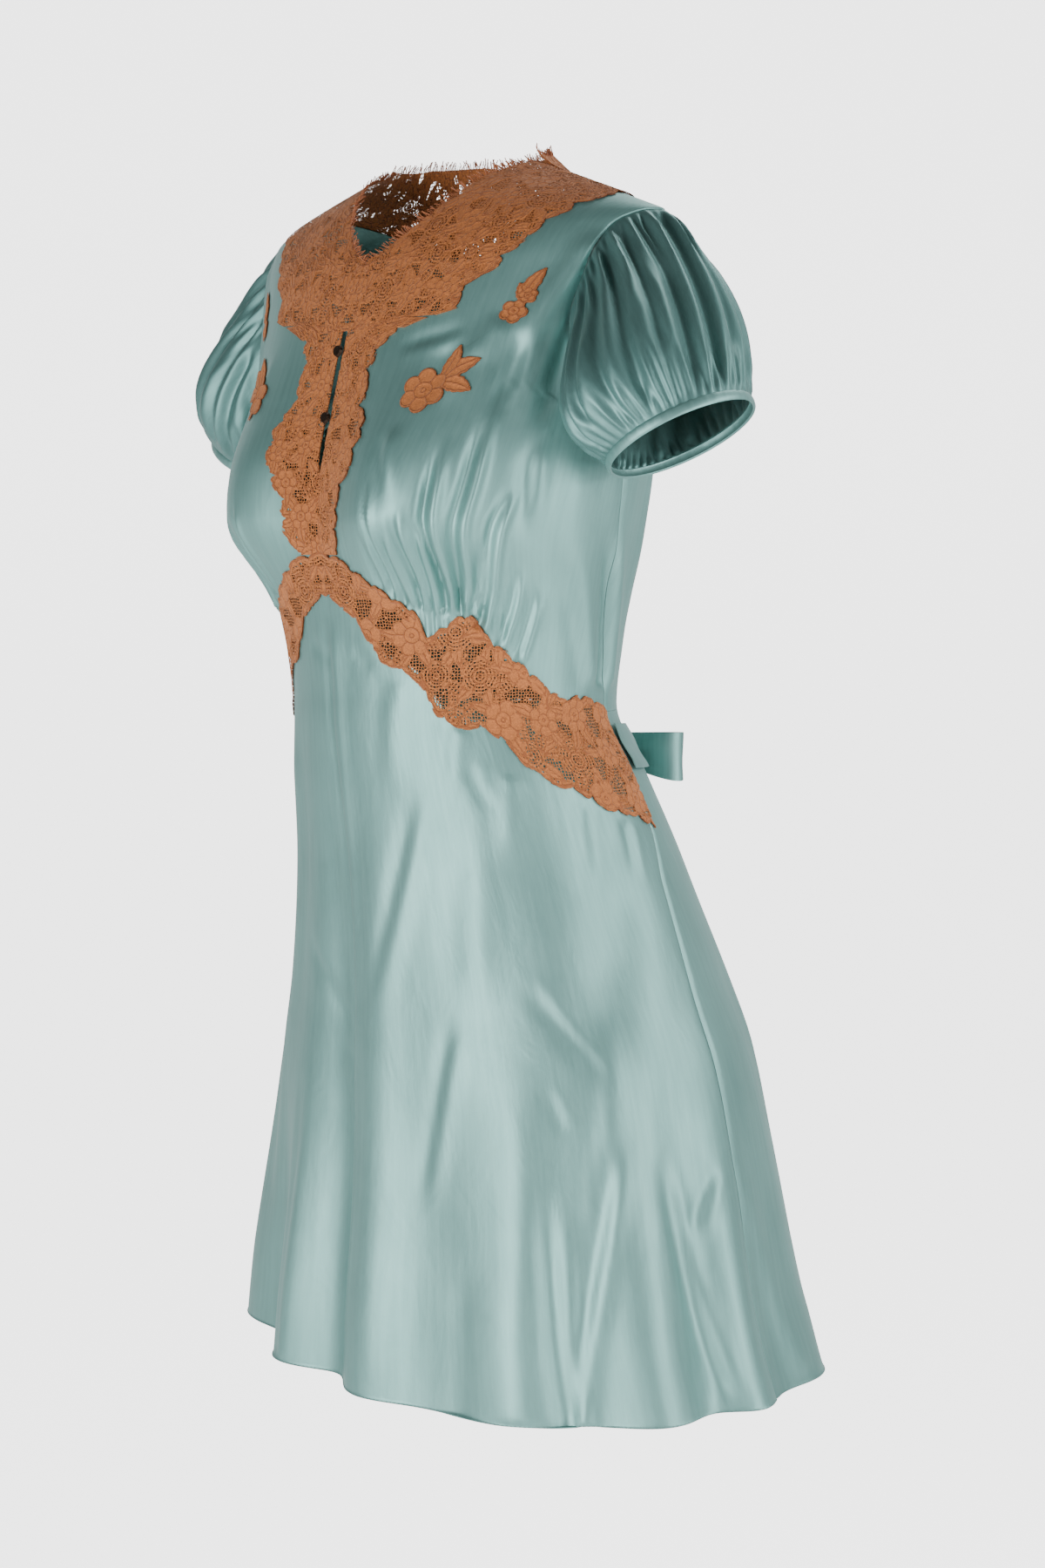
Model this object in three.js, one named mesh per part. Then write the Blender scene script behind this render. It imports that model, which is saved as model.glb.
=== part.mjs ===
// A short satin dress with puff sleeves and lace, as worn: hollow, open at neck, hem and cuffs.
// Millimetres, +Z up, the front faces -Y and the wearer's left is +X.
// The origin is the middle of the shoulder line, where the wearer's shoulders hold the dress up.
import * as THREE from "three";

const SATIN_WALL = 1.2;
const LACE_WALL = 1.0;
const SEAM = 0.5;
const SHOULDER_GAP = 0.5;
const ARMHOLE_GAP = 1.6;
const CUFF_GAP = 0.9;
const LACE_LIFT = 1.1;
const APPLIQUE_LIFT = 0.9;
const OVERLAP = 4;
const UNDERARM = -165;
const RIDGE = 46;
const HEM = -800;
const NOTCH = -58;
const KEYHOLE_TOP = -98;
const KEYHOLE_BOTTOM = -196;
const KEYHOLE_HALF = 2.6;
const COLUMN_FOOT = -249.5;
const RIDGE_GAP = 0.4;
const NORMAL_STEP = 0.4;

// Body sections from the hem to the shoulder ridge.
// level is the height that a panel is cut at, z the height where it lies, drop the fall from neck to
// shoulder tip, lift the rise of the back neck, and twist the degrees that the chest is turned by.
const SECTIONS = {
  columns: ["level", "z", "halfWidth", "front", "back", "centre", "drop", "lift", "twist"],
  rows: [
    [-800, -800, 238, 166, 168, 65, 0, 0, 0],
    [-742, -742, 225, 156, 157, 58, 0, 0, 0],
    [-651, -651, 207, 146, 146, 55, 0, 0, 0],
    [-585, -585, 192, 142, 140, 52, 0, 0, 0],
    [-542, -542, 177, 135, 135, 46, 0, 0, 0],
    [-457, -457, 151, 122, 121, 30, 0, 0, 0],
    [-394, -394, 138, 110, 108, 12, 0, 0, 0],
    [-350, -350, 128, 101, 99, 0, 0, 0, 0],
    [-310, -310, 133, 104, 102, 0, 0, 0, 0.5],
    [-277, -277, 140, 107, 105, 0, 0, 0, 1],
    [-240, -240, 149, 110, 107, 0, 0, 0, 2],
    [-195, -195, 158, 111, 107, 1, 0, 0, 3],
    [-150, -150, 163, 105, 103, 1, 0, 0, 4],
    [-95, -95, 168, 95, 94, 2, 0, 3, 5],
    [-58, -58, 174, 84, 82, 4, 4, 8, 6],
    [-25, -27, 181, 66, 66, 6, 14, 16, 6],
    [0, -5, 187, 45, 46, 8, 27, 22, 6],
    [22, 8, 191, 23, 24, 9, 36, 24, 6],
    [40, 14, 193, 6, 6, 9, 41, 24, 6],
    [46, 15, 194, 0, 0, 9, 42, 24, 6],
  ],
};
const HEM_DIP = { angle: 30, width: 52, depth: 15, from: -420 };

// Edges as angles round the body (0 centre front, 90 the side, 180 centre back) at each level.
const SIDE_SEAM = {
  columns: ["level", "angle"],
  rows: [
    [-800, 100], [-577, 99], [-470, 104], [-430, 110], [-350, 112], [-262, 103], [-165, 96],
  ],
};
const ARMHOLE = {
  columns: ["level", "front", "back"],
  rows: [
    [-165, 96, 96], [-152, 87, 103], [-136, 78, 108], [-115, 70, 112], [-90, 66, 114],
    [-58, 66, 114], [-25, 68, 112], [0, 71, 109], [22, 73.5, 106.5], [46, 75, 105],
  ],
};

// Half-widths of the lace from the centre line, front and back, and of the neck opening.
const LACE_OUTER = {
  columns: ["level", "front"],
  rows: [
    [-262, 19], [-248, 20], [-230, 27], [-212, 29], [-192, 42], [-172, 45], [-150, 36], [-128, 32],
    [-108, 40], [-98, 62], [-90, 88], [-74, 96], [-60, 108], [-44, 118], [-25, 131], [-5, 140],
    [20, 148], [46, 150],
  ],
};
const NECK_EDGE = {
  columns: ["level", "front"],
  rows: [[-58, 0.4], [-48, 15], [-34, 31], [-18, 45], [0, 57], [22, 68], [46, 73]],
};
const BACK_NECK = { level: -2, corner: 73 };
const BACK_LACE = { level: -62, corner: 150 };
const BACK_WAIST = -354;

// Waist band edges by angle from the centre front.
const BAND = {
  columns: ["angle", "top", "bottom"],
  rows: [
    [0, -250, -277], [8, -253, -283], [15, -261, -297], [21, -270, -316], [28, -280, -324],
    [34, -290, -330], [38, -304, -342], [43, -298, -356], [50, -290, -361], [56, -303, -362],
    [62, -313, -371], [68, -322, -390], [74, -331, -398], [81, -340, -403], [87, -345, -411],
    [93, -344, -418], [100, -346, -421], [106, -350, -425], [112, -354, -431],
  ],
};

const BUST = { x: 88, level: -222, out: 37, spread: 44, above: 58, below: 30 };
const BUST_GATHERS = { depth: 3.6, from: 24, to: 73.5, rise: 0.05, fade: 0.5 };

// Skirt folds: where each one lies, how wide it is, how deep at the hem and where it fades out.
const SKIRT_FOLDS = {
  columns: ["angle", "width", "depth", "fadeLevel"],
  rows: [
    [-5, 5, -17, -300], [7, 6, 9, -420], [-18, 7, 13, -560], [-31, 7, -18, -600],
    [24, 9, -7, -520], [38, 9, 8, -480], [54, 8, -9, -560], [68, 8, 7, -520], [82, 6, -14, -540],
    [92, 5, 9, -560], [106, 8, -9, -600], [122, 10, 9, -520], [140, 9, -9, -540], [158, 11, 8, -500],
    [178, 9, -10, -460], [-50, 10, 12, -520], [-68, 9, -9, -560], [-88, 10, 8, -540],
    [-104, 8, -9, -560], [-124, 11, 9, -500], [-146, 10, -8, -540], [-162, 8, 7, -520],
  ],
};

const CUFF = { centre: [226, 8, -171], axis: [0.46, 0.14, -0.877], radius: 50, binding: 6.5, wall: 2 };
const SLEEVE = { gathers: 20, perGather: 3, rows: 6, cuffDepth: 2.6, headDepth: 3.4 };
const SLEEVE_BULGE = { outer: 11, front: 24, back: 18, under: -3 };

const SATIN = new THREE.MeshStandardMaterial({ color: 0x86abab, roughness: 0.35, metalness: 0 });
const LACE = new THREE.MeshStandardMaterial({ color: 0xb8703f, roughness: 0.75, metalness: 0 });
const METAL = new THREE.MeshStandardMaterial({ color: 0x4a3a30, roughness: 0.35, metalness: 0.7 });

const radians = THREE.MathUtils.degToRad;
const clamp = THREE.MathUtils.clamp;
const lerp = THREE.MathUtils.lerp;
const bell = (x, width) => Math.exp(-(x * x) / (2 * width * width));
const ease = (x, from, to) => THREE.MathUtils.smoothstep(x, from, to);
const signed = (angle) => (angle > 180 ? angle - 360 : angle);

// A smooth curve through one column of a table, sloped so that it never overshoots its rows.
function column(table, name) {
  const k = table.columns.indexOf(name);
  const rows = [...table.rows].sort((a, b) => a[0] - b[0]);
  const slope = rows.map((row, i) => {
    if (i === 0 || i === rows.length - 1) return 0;
    const before = (row[k] - rows[i - 1][k]) / (row[0] - rows[i - 1][0]);
    const after = (rows[i + 1][k] - row[k]) / (rows[i + 1][0] - row[0]);
    return before * after > 0 ? (2 * before * after) / (before + after) : 0;
  });
  return (x) => {
    const at = clamp(x, rows[0][0], rows[rows.length - 1][0]);
    let i = 0;
    while (i < rows.length - 2 && at > rows[i + 1][0]) i += 1;
    const step = rows[i + 1][0] - rows[i][0];
    const s = (at - rows[i][0]) / step;
    const keep = (1 + 2 * s) * (1 - s) ** 2 * rows[i][k] + s * s * (3 - 2 * s) * rows[i + 1][k];
    return keep + s * (1 - s) ** 2 * step * slope[i] - s * s * (1 - s) * step * slope[i + 1];
  };
}

const section = {
  z: column(SECTIONS, "z"),
  halfWidth: column(SECTIONS, "halfWidth"),
  front: column(SECTIONS, "front"),
  back: column(SECTIONS, "back"),
  centre: column(SECTIONS, "centre"),
  drop: column(SECTIONS, "drop"),
  lift: column(SECTIONS, "lift"),
  twist: column(SECTIONS, "twist"),
};
const sideSeam = column(SIDE_SEAM, "angle");
const armholeFront = column(ARMHOLE, "front");
const armholeBack = column(ARMHOLE, "back");
const laceOuter = column(LACE_OUTER, "front");
const neckEdge = column(NECK_EDGE, "front");
const bandTop = column(BAND, "top");
const bandBottom = column(BAND, "bottom");

// How far the folds of the skirt stand out at an angle and level.
function skirtFold(angle, level) {
  let out = 0;
  for (const [at, width, depth, fade] of SKIRT_FOLDS.rows) {
    let away = angle - at;
    away -= 360 * Math.round(away / 360);
    out += depth * bell(away, width) * ease(fade - level, 0, fade - HEM) ** 0.9;
  }
  return out;
}

// A point of the cloth's outer surface.
function body(angle, level) {
  const a = radians(angle);
  const side = Math.abs(signed(angle));
  const depth = side < 90 ? section.front(level) : section.back(level);
  const down = level > BUST.level ? BUST.above : BUST.below;
  const facing = ease(Math.cos(a), -0.1, 0.35);
  const width = section.halfWidth(level) * Math.sin(a);
  const cup = BUST.out * bell(Math.abs(width) - BUST.x, BUST.spread) * bell(level - BUST.level, down);
  const out = skirtFold(angle, level);
  const x = width + out * Math.sin(a);
  const apart = SHOULDER_GAP * ease(level, 20, RIDGE) * (side < 90 ? -1 : 1);
  const y = -depth * Math.cos(a) - cup * facing - out * Math.cos(a) + apart;
  const fall = section.drop(level) * clamp((Math.abs(x) - 60) / 125, 0, 1.1);
  const rise = side > 90 ? section.lift(level) * (1 - ease(Math.abs(x), 20, 95)) : 0;
  const low = ease(HEM_DIP.from - level, 0, HEM_DIP.from - HEM) * HEM_DIP.depth;
  const dip = low * bell(signed(angle) - HEM_DIP.angle, HEM_DIP.width);
  const twist = radians(section.twist(level));
  return new THREE.Vector3(
    x * Math.cos(twist) - y * Math.sin(twist),
    section.centre(level) + x * Math.sin(twist) + y * Math.cos(twist),
    section.z(level) - fall + rise - dip,
  );
}

// The surface moved out along its normal.
function bodyOut(angle, level, out) {
  const inside = clamp(level, HEM + 0.5, RIDGE - 1.5);
  const along = body(angle + NORMAL_STEP, inside).sub(body(angle - NORMAL_STEP, inside));
  const up = body(angle, inside + 1).sub(body(angle, inside - 1));
  return body(angle, level).addScaledVector(along.cross(up).normalize(), out);
}

// Angle at which the surface is a given distance from the centre line, for the front or the back.
const frontAngle = (x, level) => {
  const angle = Math.asin(clamp(x / section.halfWidth(level), -1, 1));
  return THREE.MathUtils.radToDeg(angle);
};

// A closed wall between two grids of points. keep(i, j) says which cells are cloth.
function wall(outer, inner, columns, rows, closed = false, keep = () => true) {
  const points = [];
  const index = [];
  const across = closed ? columns : columns + 1;
  const at = (layer, i, j) => layer * across * (rows + 1) + j * across + (i % across);
  for (const grid of [outer, inner]) {
    for (let j = 0; j <= rows; j += 1) {
      for (let i = 0; i < across; i += 1) points.push(grid(i / columns, j / rows));
    }
  }
  const solid = (i, j) => {
    if (j < 0 || j >= rows) return false;
    if (closed) return keep((i + columns) % columns, j);
    return i >= 0 && i < columns && keep(i, j);
  };
  const quad = (a, b, c, d) => index.push(a, b, c, a, c, d);
  for (let j = 0; j < rows; j += 1) {
    for (let i = 0; i < columns; i += 1) {
      if (!solid(i, j)) continue;
      quad(at(0, i, j), at(0, i + 1, j), at(0, i + 1, j + 1), at(0, i, j + 1));
      quad(at(1, i, j), at(1, i, j + 1), at(1, i + 1, j + 1), at(1, i + 1, j));
      if (!solid(i, j - 1)) quad(at(0, i, j), at(1, i, j), at(1, i + 1, j), at(0, i + 1, j));
      if (!solid(i, j + 1)) {
        quad(at(0, i + 1, j + 1), at(1, i + 1, j + 1), at(1, i, j + 1), at(0, i, j + 1));
      }
      if (!solid(i - 1, j)) quad(at(0, i, j + 1), at(1, i, j + 1), at(1, i, j), at(0, i, j));
      if (!solid(i + 1, j)) {
        quad(at(0, i + 1, j), at(1, i + 1, j), at(1, i + 1, j + 1), at(0, i + 1, j + 1));
      }
    }
  }
  const used = new Map();
  const position = [];
  const compact = index.map((n) => {
    if (!used.has(n)) {
      used.set(n, used.size);
      position.push(...points[n].toArray());
    }
    return used.get(n);
  });
  const geometry = new THREE.BufferGeometry();
  geometry.setAttribute("position", new THREE.Float32BufferAttribute(position, 3));
  geometry.setIndex(compact);
  geometry.computeVertexNormals();
  return geometry;
}

const dress = new THREE.Group();

function add(name, geometry, material) {
  const mesh = new THREE.Mesh(geometry, material);
  mesh.name = name;
  dress.add(mesh);
}

// A panel of the body between two offsets from the surface. place(u, v) gives angle and level, and a
// gathered panel also gives how far the cloth is drawn in.
function panel(name, material, place, columns, rows, inner, outer, keep) {
  const grid = (out) => (u, v) => {
    const [angle, level, drawn = 0] = place(u, v);
    return bodyOut(angle, level, out - drawn);
  };
  add(name, wall(grid(outer), grid(inner), columns, rows, false, keep), material);
}

// The change of angle that moves a point along the cloth by a distance.
function angleFor(distance, angle, level) {
  const step = 0.5;
  return (distance * step) / body(angle, level).distanceTo(body(angle + step, level));
}

// Levels up a side edge, with one row exactly at the underarm point.
const LOW_ROWS = 6;
function sideLevel(v, rows) {
  const split = LOW_ROWS / rows;
  if (v <= split) return lerp(BACK_WAIST, UNDERARM, v / split);
  return lerp(UNDERARM, RIDGE, (v - split) / (1 - split));
}
function sideEdge(level, gap, edge) {
  const angle = level <= UNDERARM ? sideSeam(level) : edge(level);
  return [angle + angleFor(gap, angle, level), level];
}

// Place on a panel that runs left to right on the wearer's left side, or its mirror image.
function sided(side, place) {
  return (u, v) => {
    const [angle, level, drawn] = place(side > 0 ? u : 1 - u, v);
    return [side * angle, level, drawn];
  };
}

// A place inside four edge curves, blended from all of them.
function between(bottom, top, left, right) {
  return (u, v) => [0, 1].map((k) => {
    const sides = (1 - u) * left(v)[k] + u * right(v)[k];
    const ends = (1 - v) * bottom(u)[k] + v * top(u)[k];
    const low = (1 - u) * bottom(0)[k] + u * bottom(1)[k];
    const high = (1 - u) * top(0)[k] + u * top(1)[k];
    return sides + ends - (1 - v) * low - v * high;
  });
}

// Front bodice: from the lace edge to the side seam and armhole, from the waist band to the ridge.
// Its columns stand two to a gather under the bust, so every second one is drawn in.
const FRONT = { columns: 26, rows: 14, plainColumns: 4 };
const LACE_START = -254;
const frontInner = (v) => {
  const level = lerp(LACE_START, RIDGE, v);
  return [frontAngle(laceOuter(level) - OVERLAP, level), level];
};
const frontSide = (v) => sideEdge(sideLevel(v, FRONT.rows), -SEAM, armholeFront);
const frontTop = (u) => [lerp(frontInner(1)[0], frontSide(1)[0], u), RIDGE];
function frontBottom(u) {
  const { from, to } = BUST_GATHERS;
  const plain = FRONT.plainColumns / FRONT.columns;
  let angle = lerp(from, to, (u - plain) / (1 - 2 * plain));
  if (u < plain) angle = lerp(frontInner(0)[0], from, u / plain);
  if (u > 1 - plain) angle = lerp(to, frontSide(0)[0], (u - 1 + plain) / plain);
  return [angle, bandTop(angle) - OVERLAP * (1 - ease(u, 0.8, 1))];
}
const frontPlain = between(frontBottom, frontTop, frontInner, frontSide);
function frontBodice(u, v) {
  const plain = FRONT.plainColumns / FRONT.columns;
  const inside = ease(u, plain * 0.6, plain * 1.4) * (1 - ease(u, 1 - plain * 1.4, 1 - plain * 0.6));
  const { depth, rise, fade } = BUST_GATHERS;
  const along = ease(v, 0, rise) * (1 - ease(v, rise, fade));
  const wave = 0.5 - 0.5 * Math.cos(Math.PI * u * FRONT.columns);
  return [...frontPlain(u, v), depth * inside * along * wave];
}

// A curve that hangs from both shoulders round the back of the neck; s runs from -1 to 1.
function backCurve({ level, corner }, s) {
  const turn = (Math.PI / 2) * Math.abs(s);
  const at = level + (RIDGE - level) * (1 - Math.cos(turn));
  const angle = 180 - frontAngle(corner * Math.sin(turn), at);
  return [s < 0 ? angle : 360 - angle, at];
}

// Back bodice: waist to the edge of the neck lace and a short shoulder seam at each end.
const BACK = { columns: 20, rows: 13, shoulder: 0.14 };
const backLeft = (v) => sideEdge(sideLevel(v, BACK.rows), SEAM, armholeBack);
const backRight = (v) => {
  const [angle, level] = backLeft(v);
  return [360 - angle, level];
};
const backBottom = (u) => [lerp(backLeft(0)[0], backRight(0)[0], u), BACK_WAIST];
const underLace = { level: BACK_LACE.level + OVERLAP, corner: BACK_LACE.corner - OVERLAP };
function backTop(u) {
  const s = 2 * u - 1;
  const curveShare = 1 - 2 * BACK.shoulder;
  if (Math.abs(s) < curveShare) return backCurve(underLace, s / curveShare);
  const past = (Math.abs(s) - curveShare) / (1 - curveShare);
  const inner = backCurve(underLace, -1)[0];
  const angle = lerp(inner, backLeft(1)[0], past);
  return [s < 0 ? angle : 360 - angle, RIDGE];
}
const backBodice = between(backBottom, backTop, backLeft, backRight);

// Skirt: the front hangs from the waist band's lower edge, the back from the waist seam.
const SKIRT = { frontColumns: 46, backColumns: 30, rows: 10, rowSpread: 0.88, widest: 110 };
function skirtFront(u, v) {
  const s = 2 * u - 1;
  const top = bandBottom(Math.abs(s) * SKIRT.widest) + OVERLAP;
  const level = lerp(HEM, top, v ** SKIRT.rowSpread);
  return [s * sideEdge(level, -SEAM, sideSeam)[0], level];
}
function skirtBack(u, v) {
  const level = lerp(HEM, BACK_WAIST - SEAM, v ** SKIRT.rowSpread);
  const seam = sideEdge(level, SEAM, sideSeam)[0];
  return [lerp(seam, 360 - seam, u), level];
}

// Centre lace column, slit from the neck notch down to the bottom of the keyhole.
const COLUMN = { side: 5, lowRows: 5, highRows: 9 };
const columnCount = 2 * COLUMN.side + 1;
function centreLace(u, v) {
  const i = Math.round(u * columnCount);
  const rows = COLUMN.lowRows + COLUMN.highRows;
  const j = Math.round(v * rows);
  const low = lerp(COLUMN_FOOT, KEYHOLE_BOTTOM, j / COLUMN.lowRows);
  const high = lerp(KEYHOLE_BOTTOM, KEYHOLE_TOP - SEAM, (j - COLUMN.lowRows) / COLUMN.highRows);
  const level = j <= COLUMN.lowRows ? low : high;
  const outer = laceOuter(level);
  const left = lerp(-outer, -KEYHOLE_HALF, i / COLUMN.side);
  const right = lerp(KEYHOLE_HALF, outer, (i - COLUMN.side - 1) / COLUMN.side);
  const x = i <= COLUMN.side ? left : right;
  return [Math.sign(x) * frontAngle(Math.abs(x), level), level];
}
const isSlit = (i, j) => i === COLUMN.side && j >= COLUMN.lowRows;

// Neck lace over each collar bone, up to the shoulder ridge.
const NECK = { columns: 7, rows: 13 };
function neckLace(u, v) {
  const level = lerp(KEYHOLE_TOP, RIDGE - RIDGE_GAP, v);
  const inner = level < NOTCH ? 0.4 : neckEdge(level);
  return [frontAngle(lerp(inner, laceOuter(level), u), level), level];
}
const backLace = (u, v) => {
  const s = 2 * u - 1;
  const outer = backCurve(BACK_LACE, s);
  const inner = backCurve(BACK_NECK, s);
  return [lerp(outer[0], inner[0], v), Math.min(lerp(outer[1], inner[1], v), RIDGE - RIDGE_GAP)];
};

// Half of the waist band, with the larger gaps of the lace cut through.
const BAND_GRID = { columns: 28, rows: 5 };
function waistLace(u, v) {
  const angle = lerp(0.3, sideSeam(-390) - 0.5, u);
  return [angle, lerp(bandBottom(angle), bandTop(angle), v)];
}
const BAND_GAPS = {
  columns: ["column", "row"],
  rows: [[3, 2], [6, 2], [8, 1], [10, 3], [12, 2], [17, 2], [19, 3], [21, 2], [23, 1], [24, 3]],
};
const bandSolid = (side) => (i, j) => {
  const fromCentre = side > 0 ? i : BAND_GRID.columns - 1 - i;
  return !BAND_GAPS.rows.some(([column, row]) => column === fromCentre && row === j);
};

for (const side of [1, -1]) {
  const name = side > 0 ? "left" : "right";
  const lace = [LACE_LIFT, LACE_LIFT + LACE_WALL];
  const satin = [-SATIN_WALL, 0];
  panel(`bodice_front_${name}`, SATIN, sided(side, frontBodice), FRONT.columns, FRONT.rows, ...satin);
  panel(`neck_lace_${name}`, LACE, sided(side, neckLace), NECK.columns, NECK.rows, ...lace);
  const { columns, rows } = BAND_GRID;
  panel(`waist_lace_${name}`, LACE, sided(side, waistLace), columns, rows, ...lace, bandSolid(side));
}
panel("bodice_back", SATIN, backBodice, BACK.columns, BACK.rows, -SATIN_WALL, 0);
panel("skirt_front", SATIN, skirtFront, SKIRT.frontColumns, SKIRT.rows, -SATIN_WALL, 0);
panel("skirt_back", SATIN, skirtBack, SKIRT.backColumns, SKIRT.rows, -SATIN_WALL, 0);
const columnRows = COLUMN.lowRows + COLUMN.highRows;
panel("centre_lace", LACE, centreLace, columnCount, columnRows, LACE_LIFT, LACE_LIFT + LACE_WALL,
  (i, j) => !isSlit(i, j));
const BACK_LACE_GRID = { columns: 24, rows: 4 };
panel("neck_lace_back", LACE, backLace, BACK_LACE_GRID.columns, BACK_LACE_GRID.rows, LACE_LIFT,
  LACE_LIFT + LACE_WALL);

// Sleeves: a loft from the armhole to the cuff, puffed between, gathered at the head and the cuff.
const cuffCentre = new THREE.Vector3(...CUFF.centre);
const cuffAxis = new THREE.Vector3(...CUFF.axis).normalize();
const cuffOut = new THREE.Vector3(1, 0, 0).addScaledVector(cuffAxis, -cuffAxis.x).normalize();
const cuffFront = cuffAxis.clone().cross(cuffOut);

// The armhole runs through the corners of the front and back panels' edges, a little inside them.
// The right one is given as its mirror image, because both sleeves are lofted on the left.
function armholePath(side) {
  const edgePoint = (v, rows, gap, edge) => {
    const [angle, level] = sideEdge(sideLevel(v, rows), gap, edge);
    return body(side * angle, level);
  };
  const corners = [];
  for (let j = LOW_ROWS; j <= FRONT.rows; j += 1) {
    corners.push(edgePoint(j / FRONT.rows, FRONT.rows, ARMHOLE_GAP, armholeFront));
  }
  for (let j = BACK.rows; j >= LOW_ROWS; j -= 1) {
    corners.push(edgePoint(j / BACK.rows, BACK.rows, -ARMHOLE_GAP, armholeBack));
  }
  const underarm = corners.shift().lerp(corners.pop(), 0.5);
  underarm.z += ARMHOLE_GAP;
  corners.unshift(underarm);
  for (const corner of corners) corner.x *= side;
  const path = new THREE.CurvePath();
  corners.forEach((corner, i) => {
    path.add(new THREE.LineCurve3(corner, corners[(i + 1) % corners.length]));
  });
  return path;
}

// around runs from 0 at the underarm, forward, over the shoulder and down the back to 1.
function cuffDirection(around) {
  const turn = 2 * Math.PI * around;
  return cuffOut.clone().multiplyScalar(-Math.cos(turn)).addScaledVector(cuffFront, Math.sin(turn));
}
function sleeve(path, around, along) {
  const start = path.getPoint(THREE.MathUtils.euclideanModulo(around, 1));
  const way = cuffDirection(around);
  const end = cuffCentre.clone().addScaledVector(way, CUFF.radius);
  const turn = 2 * Math.PI * around;
  const top = Math.max(0, -Math.cos(turn));
  const front = Math.max(0, Math.sin(turn));
  const back = Math.max(0, -Math.sin(turn));
  const under = Math.max(0, Math.cos(turn));
  const { outer, front: frontOut, back: backOut, under: underOut } = SLEEVE_BULGE;
  const bulge = outer * top + frontOut * front ** 1.5 + backOut * back ** 1.5 + underOut * under;
  const puff = bulge * Math.sin(Math.PI * along ** 0.95);
  const wave = 0.5 + 0.5 * Math.cos(turn * SLEEVE.gathers);
  const nearCuff = ease(along, 0.45, 0.9) * (1 - ease(along, 0.93, 1));
  const nearHead = ease(along, 0.01, 0.14) * (1 - ease(along, 0.2, 0.6)) * ease(top, 0.1, 0.7);
  const gather = wave * (SLEEVE.cuffDepth * nearCuff + SLEEVE.headDepth * nearHead);
  return start.lerp(end, along).addScaledVector(way, puff - gather);
}
function sleeveOut(path, around, along, out) {
  const inside = clamp(along, 0.02, 0.98);
  const across = sleeve(path, around + 0.004, inside).sub(sleeve(path, around - 0.004, inside));
  const down = sleeve(path, around, inside + 0.02).sub(sleeve(path, around, inside - 0.02));
  return sleeve(path, around, along).addScaledVector(across.cross(down).normalize(), -out);
}
function cuff(around, along, out) {
  const way = cuffDirection(around);
  const down = CUFF_GAP + along * CUFF.binding;
  return cuffCentre.clone().addScaledVector(cuffAxis, down).addScaledVector(way, CUFF.radius + out);
}

// A tube that closes on itself round the arm, mirrored for the wearer's right side.
function tube(name, material, surface, columns, rows, inner, outer, side) {
  const grid = (out) => (u, v) => {
    const point = surface(side > 0 ? 1 - u : u, v, out);
    point.x *= side;
    return point;
  };
  add(name, wall(grid(outer), grid(inner), columns, rows, true), material);
}
const sleeveColumns = SLEEVE.gathers * SLEEVE.perGather;
for (const side of [1, -1]) {
  const name = side > 0 ? "left" : "right";
  const path = armholePath(side);
  const surface = (around, along, out) => sleeveOut(path, around, along, out);
  tube(`sleeve_${name}`, SATIN, surface, sleeveColumns, SLEEVE.rows, -SATIN_WALL, 0, side);
  tube(`cuff_${name}`, SATIN, cuff, 40, 1, -CUFF.wall / 2, CUFF.wall / 2, side);
}

// Appliques: closed plates that follow the front a little way off, with lobed outlines.
const APPLIQUES = {
  columns: ["name", "x", "level", "width", "height", "lobes", "lobeDepth", "tilt"],
  rows: [["flower", 96, -138, 25, 24, 6, 0.2, 20], ["slim", 133, -84, 7.5, 21, 3, 0.16, 22]],
};
const PLATE = { points: 18, rings: 2 };
for (const side of [1, -1]) {
  for (const [kind, x, level, width, height, lobes, lobeDepth, tilt] of APPLIQUES.rows) {
    const disc = (out) => (u, v) => {
      const turn = -2 * Math.PI * u * side;
      const reach = v * (1 - lobeDepth * (0.5 + 0.5 * Math.cos(lobes * turn)));
      const across = width * reach * Math.cos(turn);
      const up = height * reach * Math.sin(turn);
      const lean = radians(tilt);
      const pointLevel = level + up * Math.cos(lean) - across * Math.sin(lean);
      const pointX = x + across * Math.cos(lean) + up * Math.sin(lean);
      return bodyOut(side * frontAngle(pointX, pointLevel), pointLevel, out);
    };
    const face = disc(APPLIQUE_LIFT + LACE_WALL);
    const plate = closedDisc(face, disc(APPLIQUE_LIFT), PLATE.points, PLATE.rings);
    add(`applique_${kind}_${side > 0 ? "left" : "right"}`, plate, LACE);
  }
}

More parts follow.
